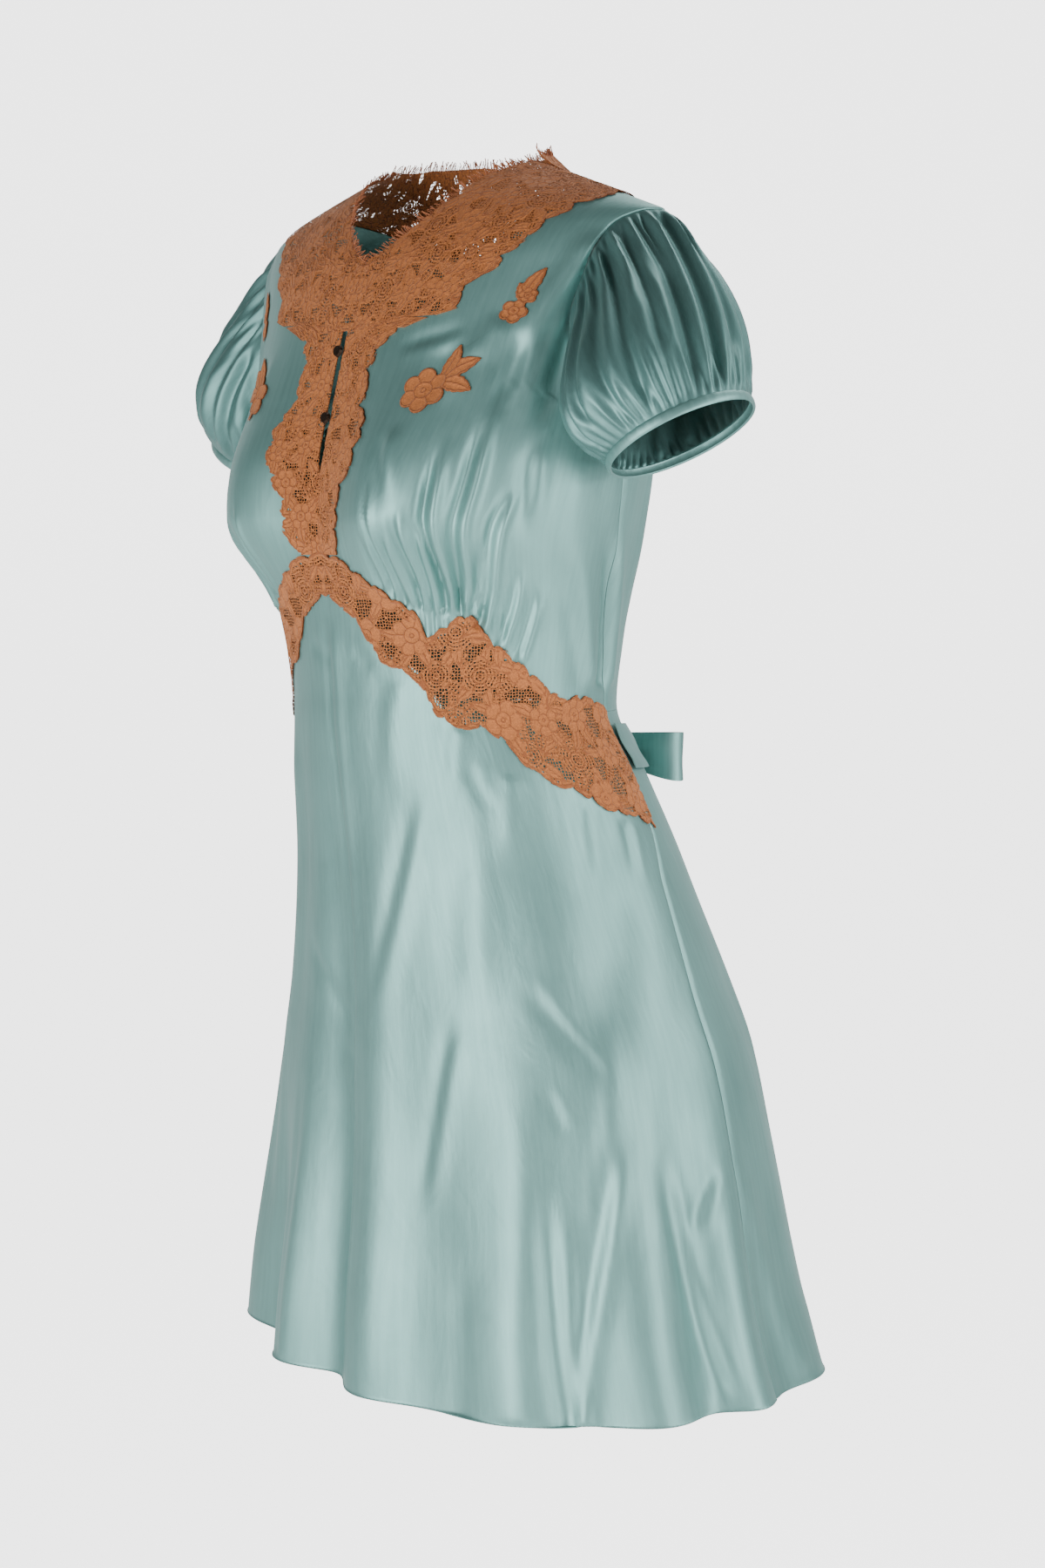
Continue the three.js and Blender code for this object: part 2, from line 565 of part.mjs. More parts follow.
// A closed plate: rings of points round a centre, above and below, joined at the rim.
function closedDisc(outer, inner, points, rings) {
  const position = [];
  const index = [];
  const layerSize = points * rings + 1;
  for (const grid of [outer, inner]) {
    position.push(...grid(0, 0).toArray());
    for (let r = 1; r <= rings; r += 1) {
      for (let i = 0; i < points; i += 1) position.push(...grid(i / points, r / rings).toArray());
    }
  }
  const at = (layer, r, i) => layer * layerSize + (r === 0 ? 0 : 1 + (r - 1) * points + (i % points));
  const face = (layer, a, b, c) => (layer === 0 ? index.push(a, b, c) : index.push(a, c, b));
  for (const layer of [0, 1]) {
    for (let i = 0; i < points; i += 1) {
      face(layer, at(layer, 0, 0), at(layer, 1, i + 1), at(layer, 1, i));
      for (let r = 1; r < rings; r += 1) {
        face(layer, at(layer, r, i), at(layer, r, i + 1), at(layer, r + 1, i + 1));
        face(layer, at(layer, r, i), at(layer, r + 1, i + 1), at(layer, r + 1, i));
      }
    }
  }
  for (let i = 0; i < points; i += 1) {
    index.push(at(0, rings, i), at(0, rings, i + 1), at(1, rings, i + 1));
    index.push(at(0, rings, i), at(1, rings, i + 1), at(1, rings, i));
  }
  const geometry = new THREE.BufferGeometry();
  geometry.setAttribute("position", new THREE.Float32BufferAttribute(position, 3));
  geometry.setIndex(index);
  geometry.computeVertexNormals();
  return geometry;
}

// Two small round hooks that hold the keyhole closed.
const CLOSURES = { upper: -116, lower: -160 };
const CLOSURE = { radius: 4.2, taper: 0.8, thickness: 2, lift: 3.2, sides: 16 };
for (const [name, level] of Object.entries(CLOSURES)) {
  const { radius, taper, thickness, sides } = CLOSURE;
  const button = new THREE.CylinderGeometry(radius * taper, radius, thickness, sides);
  const normal = bodyOut(0, level, 1).sub(body(0, level));
  const turn = new THREE.Quaternion().setFromUnitVectors(new THREE.Vector3(0, 1, 0), normal.normalize());
  button.applyQuaternion(turn);
  button.translate(...bodyOut(0, level, CLOSURE.lift + CLOSURE.thickness / 2).toArray());
  add(`closure_${name}`, button, METAL);
}

// Ties from each side seam to a bow at the centre of the back.
const TIE = { start: 113, end: 173.5, level: -378, endLevel: -384, half: 15, endHalf: 8, lift: 2.4 };
for (const side of [1, -1]) {
  const name = side > 0 ? "left" : "right";
  const strip = (u, v) => {
    const half = lerp(TIE.half, TIE.endHalf, ease(u, 0.3, 1));
    const angle = lerp(TIE.start, TIE.end, u);
    return [angle, lerp(TIE.level, TIE.endLevel, u) + lerp(-half, half, v)];
  };
  panel(`tie_${name}`, SATIN, sided(side, strip), 12, 2, TIE.lift, TIE.lift + SATIN_WALL);
}
const BOW = {
  level: -384, gap: 3.0, seat: 0.3, loop: 62, thick: 15, thinShare: 0.25, half: 17, narrowShare: 0.45,
  out: 14, drop: 7, tail: 175, tailHalf: 14, tailTop: 5, tailSpread: 36, tailWave: 3,
};
const knotRadius = [13, 9, 12];
const knotAt = body(180, BOW.level).add(new THREE.Vector3(0, BOW.gap + knotRadius[1], 0));
const knot = new THREE.SphereGeometry(1, 16, 10);
knot.scale(...knotRadius);
knot.translate(...knotAt.toArray());
add("bow_knot", knot, SATIN);
for (const side of [1, -1]) {
  const name = side > 0 ? "left" : "right";
  const loop = (out) => (u, v) => {
    const turn = 2 * Math.PI * (side > 0 ? u : 1 - u);
    const reach = (1 - Math.cos(turn)) / 2;
    const across = knotRadius[0] + BOW.seat + reach * BOW.loop + (2 * reach - 1) * out;
    const thick = BOW.thick * lerp(BOW.thinShare, 1, reach);
    const deep = BOW.out * reach + Math.sin(turn) * (thick + out);
    const half = BOW.half * lerp(BOW.narrowShare, 1, reach);
    const up = lerp(-half, half, v) - reach * BOW.drop;
    return new THREE.Vector3(side * across, knotAt.y + deep, knotAt.z + up);
  };
  add(`bow_loop_${name}`, wall(loop(-SATIN_WALL), loop(0), 22, 2, true), SATIN);
  const tail = (out) => (u, v) => {
    const down = knotRadius[2] + BOW.seat + (1 - v) * BOW.tail;
    const half = lerp(BOW.tailHalf, BOW.tailTop, ease(v, 0.5, 1));
    const spread = BOW.tailTop + BOW.seat + (1 - v) ** 0.7 * BOW.tailSpread;
    const across = side * spread + lerp(-half, half, u);
    const level = knotAt.z - down;
    const surface = body(180 - across * 0.5, level);
    const wave = BOW.tailWave * Math.sin(6 * v + side) * (1 - ease(v, 0.85, 1));
    const y = lerp(surface.y + BOW.out + wave, knotAt.y - SATIN_WALL / 2, ease(v, 0.7, 1));
    return new THREE.Vector3(across, Math.max(y, surface.y + BOW.gap) + out, level);
  };
  const flip = (grid) => (u, v) => grid(1 - u, v);
  add(`bow_tail_${name}`, wall(flip(tail(SATIN_WALL)), flip(tail(0)), 3, 9), SATIN);
}

export default dress;
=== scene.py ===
# Short satin dress with puff sleeves, a lace neckline and column, a lace waist band and a back tie.
import math

import bpy
import numpy as np
from mathutils import Matrix, Vector


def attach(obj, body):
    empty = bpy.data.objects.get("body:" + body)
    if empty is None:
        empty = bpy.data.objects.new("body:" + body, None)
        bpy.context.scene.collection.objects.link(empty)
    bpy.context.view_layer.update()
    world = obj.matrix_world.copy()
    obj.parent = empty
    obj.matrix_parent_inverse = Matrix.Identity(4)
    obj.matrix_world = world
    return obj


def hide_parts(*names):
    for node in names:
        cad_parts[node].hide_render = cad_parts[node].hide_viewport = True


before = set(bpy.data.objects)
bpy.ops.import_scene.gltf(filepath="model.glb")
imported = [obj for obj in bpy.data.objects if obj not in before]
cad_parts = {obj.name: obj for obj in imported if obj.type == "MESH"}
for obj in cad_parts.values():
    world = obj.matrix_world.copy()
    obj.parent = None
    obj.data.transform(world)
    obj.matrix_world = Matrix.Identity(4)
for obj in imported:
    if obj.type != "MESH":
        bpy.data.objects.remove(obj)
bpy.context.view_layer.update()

MM = 0.001

# Camera
CAMERA_PLACE = (1.7625, -1.3175, -0.240)
CAMERA_TURN = 52.0
CAMERA_DIP = 4.366
CAMERA_LENS = 73.33

# Sizes of the sewn pieces, in millimetres, and levels down from the shoulder line
SATIN = 0.7
LACE = 0.5
LACE_LIFT = 0.9
APPLIQUE_LIFT = 0.7
OVERLAP = 4.0
UNDER = 9.0
SEAM = 0.15
ARMHOLE_IN = -1.0
SLEEVE_TUCK = 1.2
UNDERARM = -165.0
RIDGE = 46.0
HEM = -800.0
NOTCH = -58.0
KEYHOLE_TOP = -98.0
KEYHOLE_BOTTOM = -196.0
KEYHOLE_HALF = 2.6
BACK_WAIST = -354.0
LACE_START = -254.0
COLUMN_FOOT = -249.5

SECTIONS = {
    "columns": ["level", "z", "half_width", "front", "back", "centre", "drop", "lift", "twist"],
    "rows": [
        [-800, -800, 238, 166, 168, 65, 0, 0, 0],
        [-742, -742, 225, 156, 157, 58, 0, 0, 0],
        [-651, -651, 207, 146, 146, 55, 0, 0, 0],
        [-585, -585, 192, 142, 140, 52, 0, 0, 0],
        [-542, -542, 177, 135, 135, 46, 0, 0, 0],
        [-457, -457, 151, 122, 121, 30, 0, 0, 0],
        [-394, -394, 138, 110, 108, 12, 0, 0, 0],
        [-350, -350, 128, 101, 99, 0, 0, 0, 0],
        [-310, -310, 133, 104, 102, 0, 0, 0, 0.5],
        [-277, -277, 140, 107, 105, 0, 0, 0, 1],
        [-240, -240, 149, 110, 107, 0, 0, 0, 2],
        [-195, -195, 158, 111, 107, 1, 0, 0, 3],
        [-150, -150, 163, 105, 103, 1, 0, 0, 4],
        [-95, -95, 168, 95, 94, 2, 0, 3, 5],
        [-58, -58, 174, 84, 82, 4, 4, 8, 6],
        [-25, -27, 181, 66, 66, 6, 14, 16, 6],
        [0, -5, 187, 45, 46, 8, 27, 22, 6],
        [22, 8, 191, 23, 24, 9, 36, 24, 6],
        [40, 14, 193, 6, 6, 9, 41, 24, 6],
        [46, 15, 194, 0, 0, 9, 42, 24, 6],
    ],
}
SIDE_SEAM = {
    "columns": ["level", "angle"],
    "rows": [[-800, 100], [-577, 99], [-470, 104], [-430, 110], [-350, 112], [-262, 103], [-165, 96]],
}
ARMHOLE = {
    "columns": ["level", "front", "back"],
    "rows": [
        [-165, 96, 96], [-152, 87, 103], [-136, 78, 108], [-115, 70, 112], [-90, 66, 114],
        [-58, 66, 114], [-25, 68, 112], [0, 71, 109], [22, 73.5, 106.5], [46, 75, 105],
    ],
}
LACE_OUTER = {
    "columns": ["level", "half"],
    "rows": [
        [-262, 19], [-248, 20], [-230, 27], [-212, 29], [-192, 42], [-172, 45], [-150, 36], [-128, 32],
        [-108, 40], [-98, 62], [-90, 88], [-74, 96], [-60, 108], [-44, 118], [-25, 131], [-5, 140],
        [20, 148], [46, 150],
    ],
}
NECK_EDGE = {
    "columns": ["level", "half"],
    "rows": [[-58, 0.4], [-48, 15], [-34, 31], [-18, 45], [0, 57], [22, 68], [46, 73]],
}
BAND = {
    "columns": ["angle", "top", "bottom"],
    "rows": [
        [0, -250, -277], [8, -253, -283], [15, -261, -297], [21, -270, -316], [28, -280, -324],
        [34, -290, -330], [38, -304, -342], [43, -298, -356], [50, -290, -361], [56, -303, -362],
        [62, -313, -371], [68, -322, -390], [74, -331, -398], [81, -340, -403], [87, -345, -411],
        [93, -344, -418], [100, -346, -421], [106, -350, -425], [112, -354, -431],
    ],
}
BACK_NECK = {"level": -2, "corner": 73}
BACK_LACE = {"level": -62, "corner": 150}
BUST = {"x": 88, "level": -222, "out": 37, "spread": 44, "above": 58, "below": 30, "front": (-0.1, 0.35)}
SHOULDER_FALL = {"start": 60, "run": 125, "most": 1.1}
BACK_RISE = (20, 95)
HEM_DIP = {"angle": 30, "width": 52, "depth": 15, "start": -420}
HEM_FOLD = {"height": 3.6, "depth": 0.5, "slope": 0.6}

SKIRT_FOLDS = {
    "growth": 0.9,
    "columns": ["angle", "width", "depth", "fade_level"],
    "rows": [
        [-5, 5, -17, -300], [7, 6, 9, -420], [-18, 7, 13, -560], [-31, 7, -18, -600],
        [24, 9, -7, -520], [38, 9, 8, -480], [54, 8, -9, -560], [68, 8, 7, -520], [82, 6, -14, -540],
        [92, 5, 9, -560], [106, 8, -9, -600], [122, 10, 9, -520], [140, 9, -9, -540], [158, 11, 8, -500],
        [178, 9, -10, -460], [-50, 10, 12, -520], [-68, 9, -9, -560], [-88, 10, 8, -540],
        [-104, 8, -9, -560], [-124, 11, 9, -500], [-146, 10, -8, -540], [-162, 8, 7, -520],
    ],
}

# Soft creases: a curve through three places (angle, level), its width and depth, the trough beside it
# (on the side of greater angle, or of lesser where below zero) and the shares over which its ends fade.
# The mirrored rows are made on both sides of the back.
CREASES = {
    "columns": [
        "angle0", "level0", "angle1", "level1", "angle2", "level2", "width", "depth", "tuck", "in", "out",
    ],
    "rows": [
        [2, -290, 2, -560, 3, -797, 4.0, 3.2, -1.0, 0.05, 0.1],
        [14, -404, 10, -589, 10, -795, 11, 3.0, -0.3, 0.2, 0.1],
        [-22, -508, -10, -542, -2, -575, 4.0, -2.4, 0.6, 0.3, 0.3],
        [-7, -578, -2, -610, 0, -639, 4.0, 2.2, 0.6, 0.3, 0.3],
        [-20, -590, -19, -700, -18, -797, 5.0, -3.2, 0.6, 0.4, 0.05],
        [34, -400, 19, -481, 10, -560, 5.0, 3.0, -0.9, 0.25, 0.4],
        [48, -426, 38, -499, 38, -552, 9.0, 3.4, -0.4, 0.3, 0.4],
        [34, -545, 26, -612, 22, -676, 4.6, 2.8, -0.9, 0.25, 0.3],
        [49, -525, 57, -556, 66, -591, 5.0, -2.4, 0.6, 0.3, 0.4],
        [90, -440, 75, -508, 62, -590, 15, -5.0, 0.3, 0.3, 0.4],
        [48, -640, 48, -724, 49, -799, 5.5, -5.5, 0.7, 0.4, 0.02],
        [45, -560, 42, -666, 40, -799, 11, 4.5, 0.0, 0.3, 0.05],
        [68, -620, 61, -695, 52, -799, 5.0, 4.0, -0.7, 0.3, 0.05],
        [76, -630, 78, -693, 86, -790, 5.5, -4.2, 0.7, 0.3, 0.1],
        [92, -640, 86, -666, 82, -690, 4.6, -3.0, 0.5, 0.3, 0.4],
        [102, -640, 106, -713, 114, -790, 9.0, 4.0, 0.0, 0.3, 0.1],
        [96, -425, 94, -442, 92, -470, 3.8, -2.2, 0.6, 0.1, 0.5],
        [80, -410, 76, -440, 74, -480, 4.4, -2.0, 0.6, 0.1, 0.5],
        [50, -588, 52, -605, 54, -622, 3.6, -1.5, 0.6, 0.4, 0.4],
        [-11, -306, -6, -314, -1, -323, 3.6, -1.8, 0.5, 0.3, 0.3],
        [9, -312, 14, -317, 18, -325, 3.6, -1.7, 0.5, 0.3, 0.3],
        [48, -361, 43, -384, 41, -412, 5.0, 2.2, -0.6, 0.1, 0.5],
        [47, -384, 48, -402, 51, -420, 4.0, -1.8, 0.5, 0.3, 0.4],
        [60, -392, 57, -420, 52, -460, 6.0, 2.2, -0.5, 0.1, 0.5],
        [28, -330, 24, -370, 20, -420, 6.0, 2.0, -0.5, 0.1, 0.5],
        [70, -540, 66, -600, 62, -650, 7.0, 2.6, -0.4, 0.4, 0.4],
        [30, -690, 29, -740, 28, -799, 8.0, -3.0, 0.0, 0.4, 0.05],
        [44, -172, 48.5, -240, 46, -288, 2.6, 4.2, -1.15, 0.3, 0.02],
        [52, -155, 57.5, -220, 50, -290, 2.8, 4, -1, 0.3, 0.02],
        [65, -205, 62.5, -252, 55.5, -300, 2.6, 3.6, -1, 0.3, 0.02],
        [38, -215, 39.5, -250, 38, -286, 2.3, 3.1, -1, 0.4, 0.02],
        [44.5, -226, 42, -252, 41.5, -288, 2.2, 2.6, -1, 0.4, 0.02],
        [28, -165, 32, -190, 37, -220, 4.4, 2.2, -0.7, 0.3, 0.5],
        [34, -234, 32, -258, 34, -282, 2.2, 2.6, -1, 0.4, 0.02],
        [27, -199, 30, -226, 30, -276, 2.2, 2.1, -1, 0.4, 0.02],
        [25.5, -236, 26, -254, 26.5, -270, 2, 1.7, -1, 0.4, 0.02],
        [60, -238, 58, -266, 52.5, -292, 2.1, 2.4, -1, 0.4, 0.02],
        [69, -256, 67, -282, 62, -310, 2.3, 2.2, -1, 0.4, 0.02],
        [75, -266, 73, -290, 69, -318, 2.5, 1.9, -0.9, 0.4, 0.02],
        [68, -175, 70, -204, 75, -245, 4.4, 2.6, -0.7, 0.3, 0.5],
        [92, -226, 106, -276, 109, -340, 6.0, -5.0, 0.5, 0.4, 0.05],
        [84, -240, 91, -288, 101, -338, 6.0, 3.0, -0.4, 0.4, 0.1],
        [79, -180, 82, -232, 88, -290, 9.0, 2.6, -0.4, 0.3, 0.5],
        [69, -26, 57, -92, 52, -140, 9.0, 4.4, 0.5, 0.2, 0.4],
        [71, -80, 66, -121, 65, -172, 5.0, -4.2, -0.6, 0.3, 0.4],
        [55, -104, 52, -135, 53, -166, 5.0, -3.2, 0.5, 0.3, 0.4],
        [37, -104, 28, -109, 19, -114, 3.6, -1.5, 0.4, 0.3, 0.3],
        [35, -110, 34, -131, 34, -158, 6.0, -2.6, 0.5, 0.3, 0.4],
        [72, -56, 70, -92, 67, -130, 4.4, 2.8, 0.5, 0.3, 0.4],
        [48, -96, 45, -112, 40, -128, 7.0, 2.4, 0.3, 0.3, 0.4],
        [-48, -170, -47, -236, -46, -288, 2.7, 4, -1.1, 0.3, 0.02],
        [-54, -168, -57, -222, -51, -290, 2.7, 3.7, -1, 0.3, 0.02],
        [-62, -205, -62, -252, -56, -300, 2.6, 3.3, -1, 0.3, 0.02],
        [-39, -215, -39, -250, -38, -286, 2.3, 2.9, -1, 0.4, 0.02],
        [-43, -226, -42, -252, -42, -288, 2.2, 2.5, -1, 0.4, 0.02],
        [-33, -234, -32, -258, -33, -282, 2.2, 2.4, -1, 0.4, 0.02],
        [-28, -215, -29, -238, -29, -276, 2.2, 2, -1, 0.4, 0.02],
        [-68, -250, -67, -282, -62, -310, 2.3, 2.2, -1, 0.4, 0.02],
        [-70, -26, -59, -92, -54, -150, 9.0, 3.8, -0.5, 0.2, 0.4],
        [-71, -80, -66, -128, -64, -186, 5.0, -3.6, 0.6, 0.3, 0.4],
        [-36, -112, -34, -138, -36, -166, 6.0, -2.4, 0.5, 0.3, 0.4],
        [-92, -226, -104, -276, -109, -340, 6.0, -4.4, 0.5, 0.4, 0.05],
        [-34, -350, -32, -480, -34, -640, 9.0, 3.2, 0.5, 0.2, 0.4],
        [-46, -380, -44, -560, -42, -760, 8.0, -3.6, 0.5, 0.2, 0.2],
        [-60, -410, -58, -600, -61, -790, 9.0, 3.8, -0.5, 0.3, 0.1],
        [-76, -440, -74, -600, -78, -790, 8.0, -3.6, 0.5, 0.3, 0.1],
        [-94, -450, -92, -620, -92, -790, 9.0, 3.6, 0.0, 0.3, 0.1],
        [176, -190, 174, -290, 172, -356, 3.9, 2.9, -0.9, 0.4, 0.02],
        [184, -210, 187, -300, 188, -356, 3.9, 2.6, 0.9, 0.4, 0.02],
        [150, -354, 148, -440, 143, -570, 8, -4.0, 0.5, 0.02, 0.5],
        [168, -354, 169, -450, 171, -600, 7, 3.6, -0.6, 0.02, 0.5],
        [210, -354, 212, -440, 217, -570, 8, -4.0, 0.5, 0.02, 0.5],
        [192, -354, 193, -450, 190, -600, 7, 3.6, 0.6, 0.02, 0.5],
        [180, -354, 181, -460, 182, -640, 8, -3.4, 0.4, 0.02, 0.4],
    ],
    "mirrored_rows": [
        [124, -50, 130, -170, 140, -300, 10, -4.0, 0.4, 0.3, 0.4],
        [118, -120, 122, -200, 124, -320, 8, 3.0, 0.4, 0.3, 0.4],
        [156, -230, 152, -300, 149, -356, 3.9, 3.3, -0.9, 0.4, 0.02],
        [165, -256, 163, -312, 161, -356, 3.4, 2.9, -0.9, 0.4, 0.02],
        [132, -470, 130, -620, 127, -790, 8, 3.6, 0.5, 0.3, 0.1],
        [156, -520, 158, -660, 160, -795, 8, -3.4, 0.5, 0.3, 0.1],
    ],
}

# Seeds of the gathers, the lace drawings and the loose threads
SEEDS = {
    "bust": 3, "back_bodice": 5, "back_skirt": 6, "cuff": 7, "head": 8, "eyelash": 41, "back_eyelash": 45,
}

# Columns and rows of each piece's grid
GRIDS = {
    "front_bodice": (122, 112), "back_bodice": (110, 96), "front_skirt": (190, 140), "back_skirt": (150, 110),
    "neck": (124, 136), "back_neck": (260, 58), "column": (105, 145), "band": (246, 72),
    "sleeve": (320, 60), "cuff": (160, 9), "tie": (70, 18),
    "bow_wrap": (48, 24), "bow_fold": (90, 20), "bow_end": (18, 70),
}
SIDES = ((1, "left"), (-1, "right"))

CUFF = {
    "centre": (226, 8, -171), "axis": (0.46, 0.14, -0.877), "radius": 50, "gap": 0.4, "depth": 7.0,
    "thickness": 1.6, "swell": 1.1, "over": 0.8, "pucker": 0.25, "pitch": 8.2,
}
# The cuff's length and the sleeve head's, along which their gathers are laid out, and the sleeve's flat size
CUFF_LENGTH = 314
SLEEVE_HEAD = 400
SLEEVE_FLAT = (420, 200)
BULGE = {"outer": 11, "front": 24, "back": 18, "under": -3, "roundness": 1.5, "sag": (0.95, 1.35)}


def lerp(start, end, share):
    return start + (end - start) * share


def ease(x, start, end):
    s = np.clip((x - start) / (end - start), 0, 1)
    return s * s * (3 - 2 * s)


def bell(x, width):
    return np.exp(-x * x / (2 * width * width))


# A smooth curve through one column of a table, sloped so that it never overshoots its rows
def column(table, name):
    rows = np.array(sorted(table["rows"]), float)
    x = rows[:, 0]
    y = rows[:, table["columns"].index(name)]
    step = np.diff(x)
    rise = np.diff(y) / step
    steady = rise[:-1] * rise[1:] > 0
    slope = np.zeros_like(y)
    total = np.where(steady, rise[:-1] + rise[1:], 1)
    slope[1:-1] = np.where(steady, 2 * rise[:-1] * rise[1:] / total, 0)

    def curve(at):
        at = np.clip(at, x[0], x[-1])
        i = np.clip(np.searchsorted(x, at, side="right") - 1, 0, len(x) - 2)
        s = (at - x[i]) / step[i]
        value = (1 + 2 * s) * (1 - s) ** 2 * y[i] + s * s * (3 - 2 * s) * y[i + 1]
        return value + s * (1 - s) ** 2 * step[i] * slope[i] - s * s * (1 - s) * step[i] * slope[i + 1]

    return curve


section = {name: column(SECTIONS, name) for name in SECTIONS["columns"][1:]}
side_seam = column(SIDE_SEAM, "angle")
armhole_front = column(ARMHOLE, "front")
armhole_back = column(ARMHOLE, "back")
lace_outer = column(LACE_OUTER, "half")
neck_edge = column(NECK_EDGE, "half")
band_top = column(BAND, "top")
band_bottom = column(BAND, "bottom")


# The dress's surface
def skirt_fold(angle, level):
    out = np.zeros(np.broadcast(angle, level).shape)
    for at, width, depth, fade in SKIRT_FOLDS["rows"]:
        away = angle - at
        away = away - 360 * np.round(away / 360)
        out = out + depth * bell(away, width) * ease(fade - level, 0, fade - HEM) ** SKIRT_FOLDS["growth"]
    return out


def body(angle, level):
    angle, level = np.broadcast_arrays(np.asarray(angle, float), np.asarray(level, float))
    a = np.radians(angle)
    signed = np.where(angle > 180, angle - 360, angle)
    side = np.abs(signed)
    depth = np.where(side < 90, section["front"](level), section["back"](level))
    down = np.where(level > BUST["level"], BUST["above"], BUST["below"])
    width = section["half_width"](level) * np.sin(a)
    cup = BUST["out"] * bell(np.abs(width) - BUST["x"], BUST["spread"]) * bell(level - BUST["level"], down)
    out = skirt_fold(angle, level)
    x = width + out * np.sin(a)
    y = -depth * np.cos(a) - cup * ease(np.cos(a), *BUST["front"]) - out * np.cos(a)
    sideways = (np.abs(x) - SHOULDER_FALL["start"]) / SHOULDER_FALL["run"]
    fall = section["drop"](level) * np.clip(sideways, 0, SHOULDER_FALL["most"])
    rise = np.where(side > 90, section["lift"](level) * (1 - ease(np.abs(x), *BACK_RISE)), 0)
    low = ease(HEM_DIP["start"] - level, 0, HEM_DIP["start"] - HEM) * HEM_DIP["depth"]
    dip = low * bell(signed - HEM_DIP["angle"], HEM_DIP["width"])
    twist = np.radians(section["twist"](level))
    return np.stack([
        x * np.cos(twist) - y * np.sin(twist),
        section["centre"](level) + x * np.sin(twist) + y * np.cos(twist),
        section["z"](level) - fall + rise - dip,
    ], axis=-1)


def unit(vectors):
    return vectors / np.maximum(np.linalg.norm(vectors, axis=-1, keepdims=True), 1e-9)


# Millimetres along the cloth for each degree round the body
SMALLEST_GIRTH = 1.6


def girth(level):
    return np.radians(1) * np.hypot(section["half_width"](level), section["front"](level)) / math.sqrt(2)


# A crease's reach and its trough are given in its widths. The skirt's creases are softer.
CREASE = {
    "parts": 12, "reach": 6, "trough_at": 2.1, "trough_width": 0.9, "skirt_top": -285, "skirt_share": 0.6,
}
mirrored = []
for row in CREASES["mirrored_rows"]:
    across = [360 - value if place in (0, 2, 4) else value for place, value in enumerate(row)]
    across[8] = -row[8]
    mirrored += [row, across]


def crease(angle, level):
    height = np.zeros(angle.shape)
    parts = CREASE["parts"]
    steps = np.linspace(0, 1, parts + 1)
    bow = 2 * steps * (1 - steps)
    for a0, l0, a1, l1, a2, l2, width, depth, tuck, fade_in, fade_out in CREASES["rows"] + mirrored:
        reach = CREASE["reach"] * width
        turned = angle - 360 * np.round((angle - a1) / 360)
        near = (level < max(l0, l1, l2) + reach) & (level > min(l0, l1, l2) - reach)
        turn = reach / SMALLEST_GIRTH
        near &= (turned < max(a0, a1, a2) + turn) & (turned > min(a0, a1, a2) - turn)
        if not near.any():
            continue
        scale = girth(level[near])
        best = np.full(scale.shape, 1e9)
        share = np.zeros(scale.shape)
        beside = np.zeros(scale.shape)
        line_a = (1 - steps) ** 2 * a0 + bow * a1 + steps ** 2 * a2
        line_l = (1 - steps) ** 2 * l0 + bow * l1 + steps ** 2 * l2
        for i in range(parts):
            ax = (turned[near] - line_a[i]) * scale
            al = level[near] - line_l[i]
            bx = (line_a[i + 1] - line_a[i]) * scale
            bl = line_l[i + 1] - line_l[i]
            t = np.clip((ax * bx + al * bl) / (bx * bx + bl * bl), 0, 1)
            gap = np.hypot(ax - t * bx, al - t * bl)
            closer = gap < best
            best = np.where(closer, gap, best)
            share = np.where(closer, (i + t) / parts, share)
            beside = np.where(closer, (ax * abs(bl) - al * bx * np.sign(bl)) / np.hypot(bx, bl), beside)
        along = ease(share, 0, fade_in) * (1 - ease(share, 1 - fade_out, 1))
        signed = best * np.sign(beside)
        trough_at = np.sign(tuck) * CREASE["trough_at"] * width
        trough = abs(tuck) * bell(signed - trough_at, CREASE["trough_width"] * width)
        firm = CREASE["skirt_share"] if l0 < CREASE["skirt_top"] else 1.0
        height[near] += firm * depth * (bell(best, width) - trough) * along
    return height


# The cloth's surface with its creases, moved out along its normal
NORMAL_STEP = 0.4


def cloth(angle, level, out=0.0):
    inside = np.clip(level, HEM + 0.5, RIDGE - 1.5)
    along = body(angle + NORMAL_STEP, inside) - body(angle - NORMAL_STEP, inside)
    up = body(angle, inside + 1) - body(angle, inside - 1)
    away = out + crease(angle, level)
    return body(angle, level) + unit(np.cross(along, up)) * away[..., None]


def front_angle(x, level):
    return np.degrees(np.arcsin(np.clip(x / section["half_width"](level), -1, 1)))


def angle_for(distance, angle, level):
    step = 0.5
    return distance * step / np.linalg.norm(body(angle, level) - body(angle + step, level), axis=-1)


# The share of a bodice's side edge that lies below the underarm
UNDERARM_SHARE = 0.44


def side_level(v):
    low = lerp(BACK_WAIST, UNDERARM, v / UNDERARM_SHARE)
    high = lerp(UNDERARM, RIDGE, (v - UNDERARM_SHARE) / (1 - UNDERARM_SHARE))
    return np.where(v <= UNDERARM_SHARE, low, high)


def side_edge(level, gap, edge):
    angle = np.where(level <= UNDERARM, side_seam(level), edge(level))
    return np.stack([angle + angle_for(gap, angle, level), level])


# A place inside four edge curves, blended from all of them
def between(bottom, top, left, right):
    one = np.ones(1)
    corner = [bottom(0 * one), bottom(one), top(0 * one), top(one)]

    def place(u, v):
        sides = (1 - u) * left(v) + u * right(v)
        ends = (1 - v) * bottom(u) + v * top(u)
        low = (1 - u) * corner[0] + u * corner[1]
        high = (1 - u) * corner[2] + u * corner[3]
        return sides + ends - (1 - v) * low - v * high

    return lambda u, v: place(u.ravel(), v.ravel()).reshape(2, *u.shape)


# Meshes
def grid_shares(columns, rows):
    return np.meshgrid(np.linspace(0, 1, columns + 1), np.linspace(0, 1, rows + 1), indexing="ij")


